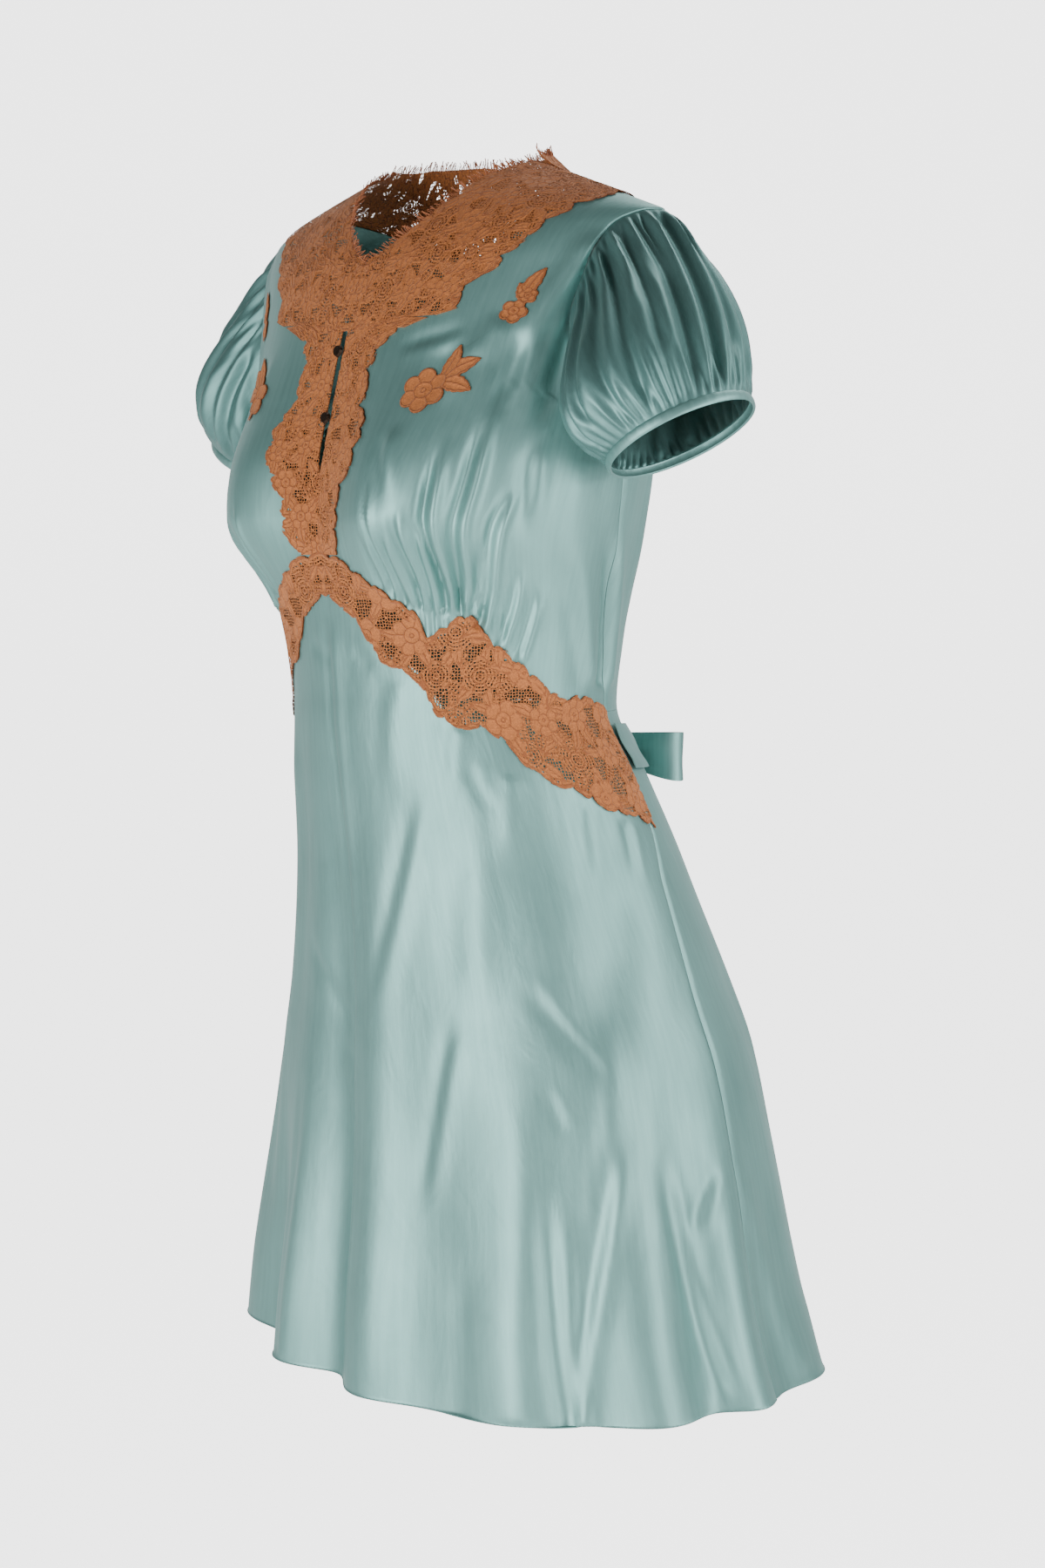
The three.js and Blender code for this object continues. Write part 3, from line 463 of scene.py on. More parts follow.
def sheet_grid(name, side=1):
    u, v = grid_shares(*GRIDS[name])
    return (u if side > 0 else 1 - u), v


# Shares round and along a piece that closes on itself
def ring_grid(name, low=0.0, high=1.0):
    columns, rows = GRIDS[name]
    return np.meshgrid(np.arange(columns) / columns, np.linspace(low, high, rows + 1), indexing="ij")


def surface_normals(points, closed):
    if closed:
        du = np.roll(points, -1, axis=0) - np.roll(points, 1, axis=0)
    else:
        du = np.gradient(points, axis=0)
    return unit(np.cross(du, np.gradient(points, axis=1)))


# A closed shell of cloth from a grid of points on its outer side
def shell(name, points, flat, thickness, closed=False, keep=None, fields=None, relief=0.0):
    columns = flat.shape[0] - 1
    rows = flat.shape[1] - 1
    across = points.shape[0]
    normals = surface_normals(points, closed)
    relief = np.broadcast_to(relief, points.shape[:2])[..., None]
    layers = [points + normals * relief, points - normals * thickness]
    if keep is None:
        keep = np.ones((columns, rows), bool)
    i, j = np.nonzero(keep)

    def number(layer, a, b):
        return layer * across * (rows + 1) + (a % across) * (rows + 1) + b

    faces = []
    corners = []

    def quads(spots):
        faces.append(np.stack([number(layer, a, b) for layer, a, b in spots], axis=1))
        corners.append(np.stack([flat[a, b] for layer, a, b in spots], axis=1))

    quads([(0, i, j), (0, i + 1, j), (0, i + 1, j + 1), (0, i, j + 1)])
    quads([(1, i, j), (1, i, j + 1), (1, i + 1, j + 1), (1, i + 1, j)])
    padded = np.zeros((columns + 2, rows + 2), bool)
    padded[1:-1, 1:-1] = keep
    if closed:
        padded[0, 1:-1] = keep[-1]
        padded[-1, 1:-1] = keep[0]
    i, j = np.nonzero(keep & ~padded[1:-1, :-2])
    quads([(0, i, j), (1, i, j), (1, i + 1, j), (0, i + 1, j)])
    i, j = np.nonzero(keep & ~padded[1:-1, 2:])
    quads([(0, i + 1, j + 1), (1, i + 1, j + 1), (1, i, j + 1), (0, i, j + 1)])
    i, j = np.nonzero(keep & ~padded[:-2, 1:-1])
    quads([(0, i, j + 1), (1, i, j + 1), (1, i, j), (0, i, j)])
    i, j = np.nonzero(keep & ~padded[2:, 1:-1])
    quads([(0, i + 1, j), (1, i + 1, j), (1, i + 1, j + 1), (0, i + 1, j + 1)])
    faces = np.concatenate(faces)
    used, faces = np.unique(faces, return_inverse=True)
    faces = faces.reshape(-1, 4)
    vertices = np.concatenate([layer.reshape(-1, 3) for layer in layers])[used] * MM
    mesh = bpy.data.meshes.new(name)
    mesh.from_pydata(vertices, [], faces)
    mesh.uv_layers.new(name="cloth")
    uv = np.concatenate(corners).reshape(-1, 2) * MM * 10
    mesh.uv_layers["cloth"].data.foreach_set("uv", uv.ravel())
    for label, values in (fields or {}).items():
        both = np.concatenate([values.ravel(), values.ravel()])[used]
        mesh.attributes.new(label, "FLOAT", "POINT").data.foreach_set("value", both)
    mesh.polygons.foreach_set("use_smooth", np.ones(len(faces), bool))
    mesh.set_sharp_from_angle(angle=math.radians(60))
    piece = bpy.data.objects.new(name, mesh)
    bpy.context.scene.collection.objects.link(piece)
    return piece


# Node trees. A node's inputs are each given a value, or the output of an earlier node.
NODE_SPOTS = {"in_row": 8, "across": 220, "down": 280}


def feed(tree, node, feeds):
    for name, value in feeds.items():
        if isinstance(value, bpy.types.NodeSocket):
            tree.links.new(value, node.inputs[name])
        else:
            node.inputs[name].default_value = value


def add_node(tree, kind, feeds=None, **values):
    row, place = divmod(len(tree.nodes), NODE_SPOTS["in_row"])
    node = tree.nodes.new(kind)
    node.location = (place * NODE_SPOTS["across"], -row * NODE_SPOTS["down"])
    for key, value in values.items():
        setattr(node, key, value)
    feed(tree, node, feeds or {})
    return node


def group(name, inputs, outputs, family="ShaderNodeTree"):
    tree = bpy.data.node_groups.new(name, family)
    for label, kind, default in inputs:
        socket = tree.interface.new_socket(name=label, in_out="INPUT", socket_type=kind)
        if default is not None:
            socket.default_value = default
    for label, kind in outputs:
        tree.interface.new_socket(name=label, in_out="OUTPUT", socket_type=kind)
    return tree, add_node(tree, "NodeGroupInput").outputs, add_node(tree, "NodeGroupOutput")


def arithmetic(tree, operation, *feeds, clamp=False):
    values = dict(enumerate(feeds))
    return add_node(tree, "ShaderNodeMath", values, operation=operation, use_clamp=clamp).outputs[0]


def map_range(tree, value, limits=(0, 1), to=(0, 1), kind="LINEAR"):
    feeds = {"Value": value, "From Min": limits[0], "From Max": limits[1], "To Min": to[0], "To Max": to[1]}
    return add_node(tree, "ShaderNodeMapRange", feeds, interpolation_type=kind).outputs[0]


def noise(tree, vector, scale, detail=2, distortion=0):
    feeds = {"Vector": vector, "Scale": scale, "Detail": detail, "Distortion": distortion}
    return add_node(tree, "ShaderNodeTexNoise", feeds).outputs["Fac"]


def blend(tree, share, low, high):
    feeds = {"Factor": share, "A": low, "B": high}
    return add_node(tree, "ShaderNodeMix", feeds, data_type="RGBA").outputs["Result"]


def bump(tree, height, strength, distance):
    feeds = {"Height": height, "Strength": strength, "Distance": distance * MM}
    return add_node(tree, "ShaderNodeBump", feeds).outputs["Normal"]


def attribute(tree, name):
    return add_node(tree, "ShaderNodeAttribute", attribute_name=name).outputs["Fac"]


def seen_or_lit(tree, lit, seen):
    rays = add_node(tree, "ShaderNodeLightPath").outputs["Is Camera Ray"]
    return map_range(tree, rays, to=(lit, seen))


def start_material(name):
    material = bpy.data.materials.new(name)
    material.use_nodes = True
    return material, material.node_tree, material.node_tree.nodes["Principled BSDF"]


# Woven satin: fine floats of warp thread, longer streaks, soft tonal drift and tiny wrinkles. The stretch
# runs along the thread, and the shares say how much of a layer goes into the tone and into the height.
WEAVE = {
    "columns": ["scale", "stretch", "turn", "detail", "distortion"],
    "floats": (190, 0.06, 0, 3, 0),
    "streaks": (34, 0.045, 6, 3, 0),
    "drift": (1.6, 1, 0, 2, 0),
    "wrinkles": (5.5, 0.4, 0, 3, 0.6),
}
TONE_SHARES = {"floats": 0.25, "streaks": 0.4, "drift": 0.35}
HEIGHT_SHARES = {"floats": 0.05, "streaks": 0.08}
TONE_LIMITS = (0.3, 0.7)
SATIN_ROUGHNESS = (0.45, 0.55)


def weave_layer(tree, vector, name):
    scale, stretch, turn, detail, distortion = WEAVE[name]
    feeds = {"Vector": vector, "Scale": (1, stretch, 1), "Rotation": (0, 0, math.radians(turn))}
    stretched = add_node(tree, "ShaderNodeMapping", feeds).outputs["Vector"]
    return noise(tree, stretched, scale, detail, distortion)


def satin_group():
    tree, start, end = group("Satin weave", [
        ("Vector", "NodeSocketVector", None),
        ("Light", "NodeSocketColor", (0.23, 0.40, 0.40, 1)),
        ("Dark", "NodeSocketColor", (0.15, 0.29, 0.30, 1)),
    ], [("Color", "NodeSocketColor"), ("Roughness", "NodeSocketFloat"), ("Height", "NodeSocketFloat")])
    layers = {name: weave_layer(tree, start["Vector"], name) for name in list(WEAVE)[1:]}
    tone = 0.0
    for name, share in TONE_SHARES.items():
        tone = arithmetic(tree, "MULTIPLY_ADD", layers[name], share, tone)
    height = layers["wrinkles"]
    for name, share in HEIGHT_SHARES.items():
        height = arithmetic(tree, "MULTIPLY_ADD", layers[name], share, height)
    feed(tree, end, {
        "Color": blend(tree, map_range(tree, tone, TONE_LIMITS), start["Dark"], start["Light"]),
        "Roughness": map_range(tree, layers["floats"], to=SATIN_ROUGHNESS),
        "Height": height,
    })
    return tree


SATIN_GROUP = satin_group()


def satin_material(name, light, dark, wrinkle):
    material, tree, surface = start_material(name)
    where = add_node(tree, "ShaderNodeUVMap", uv_map="cloth").outputs["UV"]
    feeds = {"Vector": where, "Light": (*light, 1), "Dark": (*dark, 1)}
    weave = add_node(tree, "ShaderNodeGroup", feeds, node_tree=SATIN_GROUP).outputs
    feed(tree, surface, {
        "Base Color": weave["Color"],
        "Roughness": weave["Roughness"],
        "Normal": bump(tree, weave["Height"], 1.0, wrinkle),
        "Metallic": 0.7,
        "Specular IOR Level": 0.5,
        "Sheen Weight": 0.05,
        "Sheen Roughness": 0.4,
        "Sheen Tint": (0.85, 0.97, 0.95, 1),
    })
    return material


# Lace: filled motifs, some of them worked open in rungs, raised darker cords, and fine net between
RUNG = {"pitch": 2.3, "gap": -0.1}
CORD_FADE = (0.22, 0.6)
NET = {"scale": 50, "randomness": 0.45, "thread": 0.11}
LACE_THREADS = {"scale": 95, "detail": 4, "distortion": 1.2, "tones": (0.66, 1.16), "limits": (0.34, 0.66)}


def lace_material(name, fill, cord):
    material, tree, surface = start_material(name)
    where = add_node(tree, "ShaderNodeUVMap", uv_map="cloth").outputs["UV"]
    threads = noise(tree, where, *[LACE_THREADS[key] for key in ("scale", "detail", "distortion")])
    feeds = {"Vector": where, "Scale": NET["scale"], "Randomness": NET["randomness"]}
    net = add_node(tree, "ShaderNodeTexVoronoi", feeds, feature="DISTANCE_TO_EDGE").outputs["Distance"]
    net = arithmetic(tree, "LESS_THAN", net, NET["thread"])
    cords = map_range(tree, attribute(tree, "line"), CORD_FADE, (1, 0), "SMOOTHSTEP")
    turns = arithmetic(tree, "MULTIPLY", attribute(tree, "rung"), math.tau / RUNG["pitch"])
    gaps = arithmetic(tree, "GREATER_THAN", arithmetic(tree, "SINE", turns), RUNG["gap"])
    pierced = arithmetic(tree, "GREATER_THAN", attribute(tree, "pierced"), 0.5)
    hole = arithmetic(tree, "MULTIPLY", gaps, pierced)
    motif = arithmetic(tree, "MULTIPLY_ADD", attribute(tree, "motif"), 2.2, 0.5, clamp=True)
    filled = arithmetic(tree, "SUBTRACT", motif, hole, clamp=True)
    cover = arithmetic(tree, "MAXIMUM", net, arithmetic(tree, "MAXIMUM", filled, cords))
    edge = arithmetic(tree, "MULTIPLY_ADD", attribute(tree, "work"), 2.0, 0.5, clamp=True)
    low, high = [(*[value * tone for value in fill], 1) for tone in LACE_THREADS["tones"]]
    colour = blend(tree, map_range(tree, threads, LACE_THREADS["limits"]), low, high)
    feed(tree, surface, {
        "Base Color": blend(tree, cords, colour, (*cord, 1)),
        "Alpha": arithmetic(tree, "MULTIPLY", cover, edge),
        "Normal": bump(tree, arithmetic(tree, "MULTIPLY_ADD", threads, 0.6, cords), 0.9, 0.5),
        "Roughness": 0.78,
        "Specular IOR Level": 0.25,
        "Sheen Weight": 0.2,
        "Sheen Tint": (1.0, 0.75, 0.6, 1),
    })
    return material


# Thread and metal, in fine flecks of two tones
def flecked_material(name, light, dark, scale, roughness, metallic=0):
    material, tree, surface = start_material(name)
    where = add_node(tree, "ShaderNodeTexCoord").outputs["Object"]
    colour = blend(tree, noise(tree, where, scale), (*dark, 1), (*light, 1))
    feed(tree, surface, {"Base Color": colour, "Roughness": roughness, "Metallic": metallic})
    return material


satin_front = satin_material("satin_front", (0.225, 0.43, 0.405), (0.16, 0.325, 0.305), 0.45)
satin_skirt = satin_material("satin_skirt", (0.225, 0.43, 0.405), (0.16, 0.325, 0.305), 0.65)
# The sleeves' satin is the same cloth as the bodice's, given darker colours: painted shade on the sleeves
satin_sleeve_painted_shade = satin_material("satin_sleeve_painted_shade", (0.14, 0.29, 0.275), (0.095, 0.205, 0.195), 0.4)
satin_binding = satin_material("satin_binding", (0.21, 0.40, 0.38), (0.145, 0.30, 0.28), 0.25)
copper_lace = lace_material("copper_lace", (0.46, 0.152, 0.045), (0.29, 0.088, 0.028))
lash_thread = flecked_material("lash_thread", (0.50, 0.17, 0.065), (0.30, 0.09, 0.035), 1400, 0.6)
hem_thread = flecked_material("hem_thread", (0.15, 0.29, 0.275), (0.08, 0.18, 0.17), 1400, 0.6)
hook_metal = flecked_material("dark_hook_metal", (0.07, 0.045, 0.03), (0.02, 0.012, 0.008), 900, 0.4, 0.8)

# Every cut piece's flat size in metres, the share of that rectangle that it fills, how it is held, and its
# cloth
CUT = {
    "columns": ["width", "length", "share", "held", "material"],
    "bodice_front": (0.24, 0.34, 0.70, "draped", satin_front),
    "bodice_back": (0.40, 0.40, 0.75, "draped", satin_front),
    "skirt_front": (0.70, 0.56, 0.72, "draped", satin_skirt),
    "skirt_back": (0.62, 0.46, 0.78, "draped", satin_skirt),
    "sleeve": (0.34, 0.20, 0.80, "gathered", satin_sleeve_painted_shade),
    "cuff": (0.33, 0.0105, 0.75, "stretched", satin_binding),
    "neck_lace": (0.17, 0.18, 0.48, "draped", copper_lace),
    "neck_lace_back": (0.38, 0.11, 0.56, "draped", copper_lace),
    "centre_lace": (0.10, 0.17, 0.70, "draped", copper_lace),
    "waist_lace": (0.27, 0.19, 0.32, "draped", copper_lace),
    "applique_flower": (0.050, 0.055, 0.52, "laid", copper_lace),
    "applique_slim": (0.020, 0.046, 0.55, "laid", copper_lace),
    "tie": (0.030, 0.145, 0.92, "stretched", satin_binding),
    "bow_loop": (0.030, 0.150, 0.85, "folded", satin_binding),
    "bow_tail": (0.029, 0.180, 0.94, "hung", satin_binding),
    "bow_knot": (0.038, 0.045, 0.95, "folded", satin_binding),
}


def sewn(piece, kind, side_name=""):
    width, length, share, held, material = CUT[kind]
    piece.data.materials.append(material)
    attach(piece, "root")
    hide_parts(kind + side_name)


# Lace drawing. A motif gives, in millimetres, how far each place is inside its edge and from its nearest
# cord, and how far along the motif it lies, for the rungs of its open work.
CORD_FAR = 3.0
CORD_INSET = 0.5
FLOWER = {"body": 0.74, "petal": 0.26, "roundness": 0.8, "parting": 0.34, "ring": 0.36, "heart": 0.1}
LEAF = {"tip": 0.8, "roundness": 0.8, "body": 0.88, "nick": 0.12, "nicks": 4.5}


def flower(p, q, x, y, radius, petals, turn):
    dx = p - x
    dy = q - y
    reach = np.hypot(dx, dy)
    around = np.arctan2(dy, dx) + turn
    phase = np.arccos(np.clip(np.abs(np.cos(petals * around / 2)), 0, 1))
    inside = radius * (FLOWER["body"] + FLOWER["petal"] * np.cos(phase) ** FLOWER["roundness"]) - reach
    from_parting = reach * (math.pi / 2 - phase) * 2 / petals
    parting = np.where(reach > radius * FLOWER["parting"], from_parting, CORD_FAR)
    ring = np.abs(reach - radius * FLOWER["ring"])
    heart = np.abs(reach - radius * FLOWER["heart"])
    return inside, np.minimum.reduce([np.abs(inside - CORD_INSET), parting, ring, heart]), reach


def leaf(p, q, x, y, turn, length, half, bend):
    along = (p - x) * math.cos(turn) + (q - y) * math.sin(turn)
    across = -(p - x) * math.sin(turn) + (q - y) * math.cos(turn)
    t = np.clip(along / length, 0, 1)
    across = across - bend * 4 * t * (1 - t)
    beyond = np.abs(along / length - t) * length
    nicks = LEAF["body"] + LEAF["nick"] * np.abs(np.sin(LEAF["nicks"] * math.pi * t))
    wide = half * np.sin(math.pi * t ** LEAF["tip"]) ** LEAF["roundness"] * nicks
    inside = wide - np.hypot(across, beyond)
    inside = np.where(beyond > 0, -np.hypot(across, beyond), inside)
    return inside, np.minimum(np.abs(inside - CORD_INSET), np.abs(across)), along


# Nothing counts as deeper in a piece, or further outside it, than INSIDE
INSIDE = 9.0
EDGE_CORD = 0.9
EDGE_FILL = 1.8
OPEN_SHARE = 0.4
OPEN_INSET = 1.2
MOTIF_REACH = 30
FIELD_LIMITS = (-3, 3)
RELIEF = {"motif": 0.25, "slope": 0.6, "cord": 0.35, "width": 0.55}
WANDER = {"size": 0.2, "turn": 0.11}
SPRAY = {
    "shift": 2.5, "row": 0.9, "leaves": 5, "sway": 0.25, "root": 0.5, "length": (0.52, 0.68),
    "half": (3.2, 4.6), "bend": 2.5, "size": (0.85, 1.15), "petals": (5, 8),
}


# A drawing of sprays: a flower in the middle of leaves, set on a staggered lattice
def sprays(low, high, pitch, radius, seed):
    dice = np.random.default_rng(seed)
    shift = SPRAY["shift"]
    motifs = []
    rows = int(math.ceil((high[1] - low[1]) / pitch)) + 2
    columns = int(math.ceil((high[0] - low[0]) / pitch)) + 2
    for row in range(rows):
        for place in range(columns):
            x = low[0] + (place - 0.5 + 0.5 * (row % 2)) * pitch + dice.uniform(-shift, shift)
            y = low[1] + (row - 0.5) * pitch * SPRAY["row"] + dice.uniform(-shift, shift)
            turn = dice.uniform(0, math.tau)
            for n in range(SPRAY["leaves"]):
                way = turn + n * math.tau / SPRAY["leaves"] + dice.uniform(-SPRAY["sway"], SPRAY["sway"])
                size = pitch * dice.uniform(*SPRAY["length"])
                root = radius * SPRAY["root"]
                motifs.append((leaf, (
                    x + root * math.cos(way), y + root * math.sin(way), way, size,
                    dice.uniform(*SPRAY["half"]), dice.uniform(-SPRAY["bend"], SPRAY["bend"]),
                ), dice.uniform() < OPEN_SHARE))
            heart = (x, y, radius * dice.uniform(*SPRAY["size"]), dice.integers(*SPRAY["petals"]), turn)
            motifs.append((flower, heart, dice.uniform() < OPEN_SHARE))
    return motifs


def draw(motifs, p, q):
    inside = np.full(p.shape, -INSIDE)
    line = np.full(p.shape, CORD_FAR)
    rung = np.zeros(p.shape)
    pierced = np.zeros(p.shape)
    for shape, values, is_open in motifs:
        near = (np.abs(p - values[0]) < MOTIF_REACH) & (np.abs(q - values[1]) < MOTIF_REACH)
        if not near.any():
            continue
        depth, cord, along = shape(p[near], q[near], *values)
        over = depth > 0
        line[near] = np.where(over, cord, line[near])
        rung[near] = np.where(over, along, rung[near])
        pierced[near] = np.where(over, is_open * (depth > OPEN_INSET), pierced[near])
        inside[near] = np.maximum(inside[near], depth)
    return {"inside": inside, "line": line, "rung": rung, "pierced": pierced}


# Rounded lobes along an edge, a little uneven: 0 where two lobes part and 1 at their tips
def lobes(position, pitch, shift):
    s = position / pitch + shift + WANDER["size"] * np.sin(position * WANDER["turn"] + 3 * shift)
    away = 2 * (s - np.floor(s)) - 1
    return np.sqrt(np.clip(1 - away * away, 0, 1))


# A lace piece from its surface, its flat drawing coordinates and how far each point is inside its edge;
# motifs may stand out past the edge by as much as tips, and spread closes the net between them
def lace_piece(name, points, p, q, edge, motifs, tips, spread=0.0, slit=None):
    drawn = draw(motifs, p, q)
    inside = drawn["inside"] + spread
    work = np.maximum(edge, np.minimum(inside, edge + tips))
    line = np.minimum(drawn["line"], np.abs(work - EDGE_CORD))
    top = np.maximum.reduce([work[:-1, :-1], work[1:, :-1], work[:-1, 1:], work[1:, 1:]])
    keep = top > -0.3
    if slit is not None:
        keep &= ~slit
    fields = {
        "work": np.clip(work, *FIELD_LIMITS),
        "motif": np.clip(np.maximum(inside, EDGE_FILL - np.abs(edge - EDGE_CORD)), *FIELD_LIMITS),
        "line": np.clip(line, 0, CORD_FAR),
        "rung": drawn["rung"],
        "pierced": drawn["pierced"] * (edge > EDGE_FILL),
    }
    relief = RELIEF["motif"] * ease(inside, -RELIEF["slope"], RELIEF["slope"])
    relief = relief + RELIEF["cord"] * bell(line, RELIEF["width"])
    return shell(name, points, np.stack([p, q], axis=-1), LACE, keep=keep, fields=fields, relief=relief)


# Sets an item on every point, makes the copies real and gives them their material
def plant(tree, start, end, points, item, turn, scale):
    feeds = {"Points": points, "Instance": item.outputs["Mesh"], "Scale": scale}
    feeds["Rotation"] = turn.outputs["Rotation"]
    spread = add_node(tree, "GeometryNodeInstanceOnPoints", feeds)
    real = add_node(tree, "GeometryNodeRealizeInstances", {"Geometry": spread.outputs["Instances"]})
    feeds = {"Geometry": real.outputs["Geometry"], "Material": start["Finish"]}
    feed(tree, end, {0: add_node(tree, "GeometryNodeSetMaterial", feeds).outputs["Geometry"]})


# Loose threads that stand along a line, each the way that its point says, uneven in length and lean
def lash_tree():
    tree, start, end = group("Eyelash threads", [
        ("Line", "NodeSocketGeometry", None),
        ("Length", "NodeSocketFloat", 0.0055),
        ("Radius", "NodeSocketFloat", 0.0002),
        ("Seed", "NodeSocketInt", 1),
        ("Finish", "NodeSocketMaterial", None),
    ], [("Threads", "NodeSocketGeometry")], "GeometryNodeTree")
    bend = add_node(tree, "GeometryNodeCurveQuadraticBezier", {
        "Resolution": 4, "Start": (0, 0, 0), "Middle": (0.16, 0.05, 0.5), "End": (-0.1, 0.1, 1),
    })
    thin = arithmetic(tree, "DIVIDE", start["Radius"], start["Length"])
    profile = add_node(tree, "GeometryNodeCurvePrimitiveCircle", {"Resolution": 3, "Radius": thin})
    strand = add_node(tree, "GeometryNodeCurveToMesh", {
        "Curve": bend.outputs["Curve"], "Profile Curve": profile.outputs["Curve"], "Fill Caps": True,
    })
    short = arithmetic(tree, "MULTIPLY", start["Length"], 0.45)
    long = arithmetic(tree, "MULTIPLY", start["Length"], 1.2)
    feeds = {2: short, 3: long, "Seed": start["Seed"]}
    size = add_node(tree, "FunctionNodeRandomValue", feeds, data_type="FLOAT")
    feeds = {0: (-0.35, -0.35, -math.pi), 1: (0.35, 0.35, math.pi), "Seed": start["Seed"]}
    lean = add_node(tree, "FunctionNodeRandomValue", feeds, data_type="FLOAT_VECTOR")
    way = add_node(tree, "GeometryNodeInputNamedAttribute", {"Name": "way"}, data_type="FLOAT_VECTOR")
    aim = add_node(tree, "FunctionNodeAlignRotationToVector", {"Vector": way.outputs["Attribute"]}, axis="Z")
    tilt = add_node(tree, "FunctionNodeEulerToRotation", {"Euler": lean.outputs["Value"]})
    feeds = {"Rotation": aim.outputs["Rotation"], "Rotate By": tilt.outputs["Rotation"]}
    turn = add_node(tree, "FunctionNodeRotateRotation", feeds, rotation_space="LOCAL")
    plant(tree, start, end, start["Line"], strand, turn, size.outputs[1])
    return tree


# Short stitches in a row along a line
def stitch_tree():
    tree, start, end = group("Row of stitches", [
        ("Line", "NodeSocketGeometry", None),
        ("Spacing", "NodeSocketFloat", 0.0032),
        ("Size", "NodeSocketVector", (0.0011, 0.0002, 0.0002)),
        ("Finish", "NodeSocketMaterial", None),
    ], [("Stitches", "NodeSocketGeometry")], "GeometryNodeTree")
    seam = add_node(tree, "GeometryNodeMeshToCurve", {"Mesh": start["Line"]})
    feeds = {"Curve": seam.outputs["Curve"], "Length": start["Spacing"]}
    even = add_node(tree, "GeometryNodeResampleCurve", mode="LENGTH")
    feed(tree, even, feeds)
    stitch = add_node(tree, "GeometryNodeMeshUVSphere", {"Segments": 6, "Rings": 4, "Radius": 1})
    along = add_node(tree, "GeometryNodeInputTangent")
    aim = add_node(tree, "FunctionNodeAlignRotationToVector", {"Vector": along.outputs["Tangent"]}, axis="X")
    plant(tree, start, end, even.outputs["Curve"], stitch, aim, start["Size"])
    return tree


LASHES = lash_tree()
STITCHES = stitch_tree()


# A mesh grown by one of the trees along a line of points, each with the way that its thread stands
def grow(name, tree, points, values, ways=None):
    line = bpy.data.meshes.new(f"{name}_line")
    line.from_pydata(points * MM, [(i, i + 1) for i in range(len(points) - 1)], [])
    if ways is not None:
        line.attributes.new("way", "FLOAT_VECTOR", "POINT").data.foreach_set("vector", ways.ravel())
    item = bpy.data.objects.new(name, line)
    bpy.context.scene.collection.objects.link(item)
    modifier = item.modifiers.new("grow", "NODES")
    modifier.node_group = tree
    for socket in tree.interface.items_tree:
        if socket.name in values:
            modifier[socket.identifier] = values[socket.name]
    seen = item.evaluated_get(bpy.context.evaluated_depsgraph_get())
    grown = bpy.data.meshes.new_from_object(seen)
    item.modifiers.clear()
    item.data = grown
    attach(item, "root")
    return item


# Shares along a line at even spacing, in millimetres
def evenly(line, spacing):
    dense = np.linspace(0, 1, 400)
    steps = np.linalg.norm(np.diff(line(dense), axis=0), axis=1)
    run = np.concatenate([[0], np.cumsum(steps)])
    return np.interp(np.arange(0, run[-1], spacing), run, dense)


LASH = {"spacing": 0.8, "lift": 0.45, "inset": 3.0, "length": 6.5, "radius": 0.34}


def lashes(name, line, inner_line, seed):
    at = evenly(line, LASH["spacing"])
    roots = line(at)
    ways = unit(unit(roots - inner_line(at)) + np.array([0, 0, LASH["lift"]]))
    values = {
        "Length": LASH["length"] * MM, "Radius": LASH["radius"] * MM, "Seed": seed, "Finish": lash_thread,
    }
    return grow(name, LASHES, roots, values, ways)


# Front bodice
# The plain share at either end of its lower edge, and the gathers between them, by angle and by height
FRONT_PLAIN = 4 / 26
BUST_GATHERS = {
    "start": 24, "end": 73.5, "height": 0.9, "turn": 2.4, "pitch": 7.5,
    "angle_in": (24, 30), "angle_out": (58, 66), "rise_in": (-6, 2), "rise_out": (6, 45),
}


def front_inner(v):
    level = lerp(LACE_START, RIDGE, v)
    return np.stack([front_angle(lace_outer(level) - UNDER, level), level])


def front_side(v):
    return side_edge(side_level(v), -SEAM, armhole_front)


def front_top(u):
    one = np.ones(1)
    return np.stack([lerp(front_inner(one)[0], front_side(one)[0], u), np.full(u.shape, RIDGE)])


def front_bottom(u):
    one = np.zeros(1)
    angle = lerp(BUST_GATHERS["start"], BUST_GATHERS["end"], (u - FRONT_PLAIN) / (1 - 2 * FRONT_PLAIN))
    low = lerp(front_inner(one)[0], BUST_GATHERS["start"], u / FRONT_PLAIN)
    high = lerp(BUST_GATHERS["end"], front_side(one)[0], (u - 1 + FRONT_PLAIN) / FRONT_PLAIN)
    angle = np.where(u < FRONT_PLAIN, low, angle)
    angle = np.where(u > 1 - FRONT_PLAIN, high, angle)
    return np.stack([angle, band_top(angle) - OVERLAP * (1 - ease(u, 0.8, 1))])


front_place = between(front_bottom, front_top, front_inner, front_side)


# Small uneven puckers where cloth is gathered into a seam
def pucker(position, pitch, seed):
    dice = np.random.default_rng(seed)
    phases = dice.uniform(0, math.tau, 3)
    wave = np.sin(position * math.tau / pitch + phases[0] + 1.2 * np.sin(position * 0.061 + phases[1]))
    return wave * (0.75 + 0.25 * np.sin(position * 0.23 + phases[2]))


# Cloth turns in where it meets a seam. The skirt front's edge goes on by "past" under the skirt back's.
SEAM_TURNS = {"plain": {"depth": 1.1, "width": 3.2}, "under": {"depth": 2.4, "width": 4.4, "past": 1.2}}
FLAT_WIDTHS = {"front_bodice": 150, "back_bodice": 320, "front_skirt": 640, "back_skirt": 560}


def seam_turn(share, panel, kind="plain"):
    seam = SEAM_TURNS[kind]
    return seam["depth"] * (1 - ease(share * FLAT_WIDTHS[panel], 0, seam["width"]))


# Gathers round a panel's middle at the back: their height, and how far they run from the waist seam
BACK_GATHERS = {"height": 0.7, "turn": 2.3, "pitch": 9, "spread": 26, "start": 3, "end": 40}


def back_gathers(angle, from_waist, seed):
    g = BACK_GATHERS
    waves = g["height"] * pucker(angle * g["turn"], g["pitch"], seed)
    return waves * bell(angle - 180, g["spread"]) * (1 - ease(from_waist, g["start"], g["end"]))


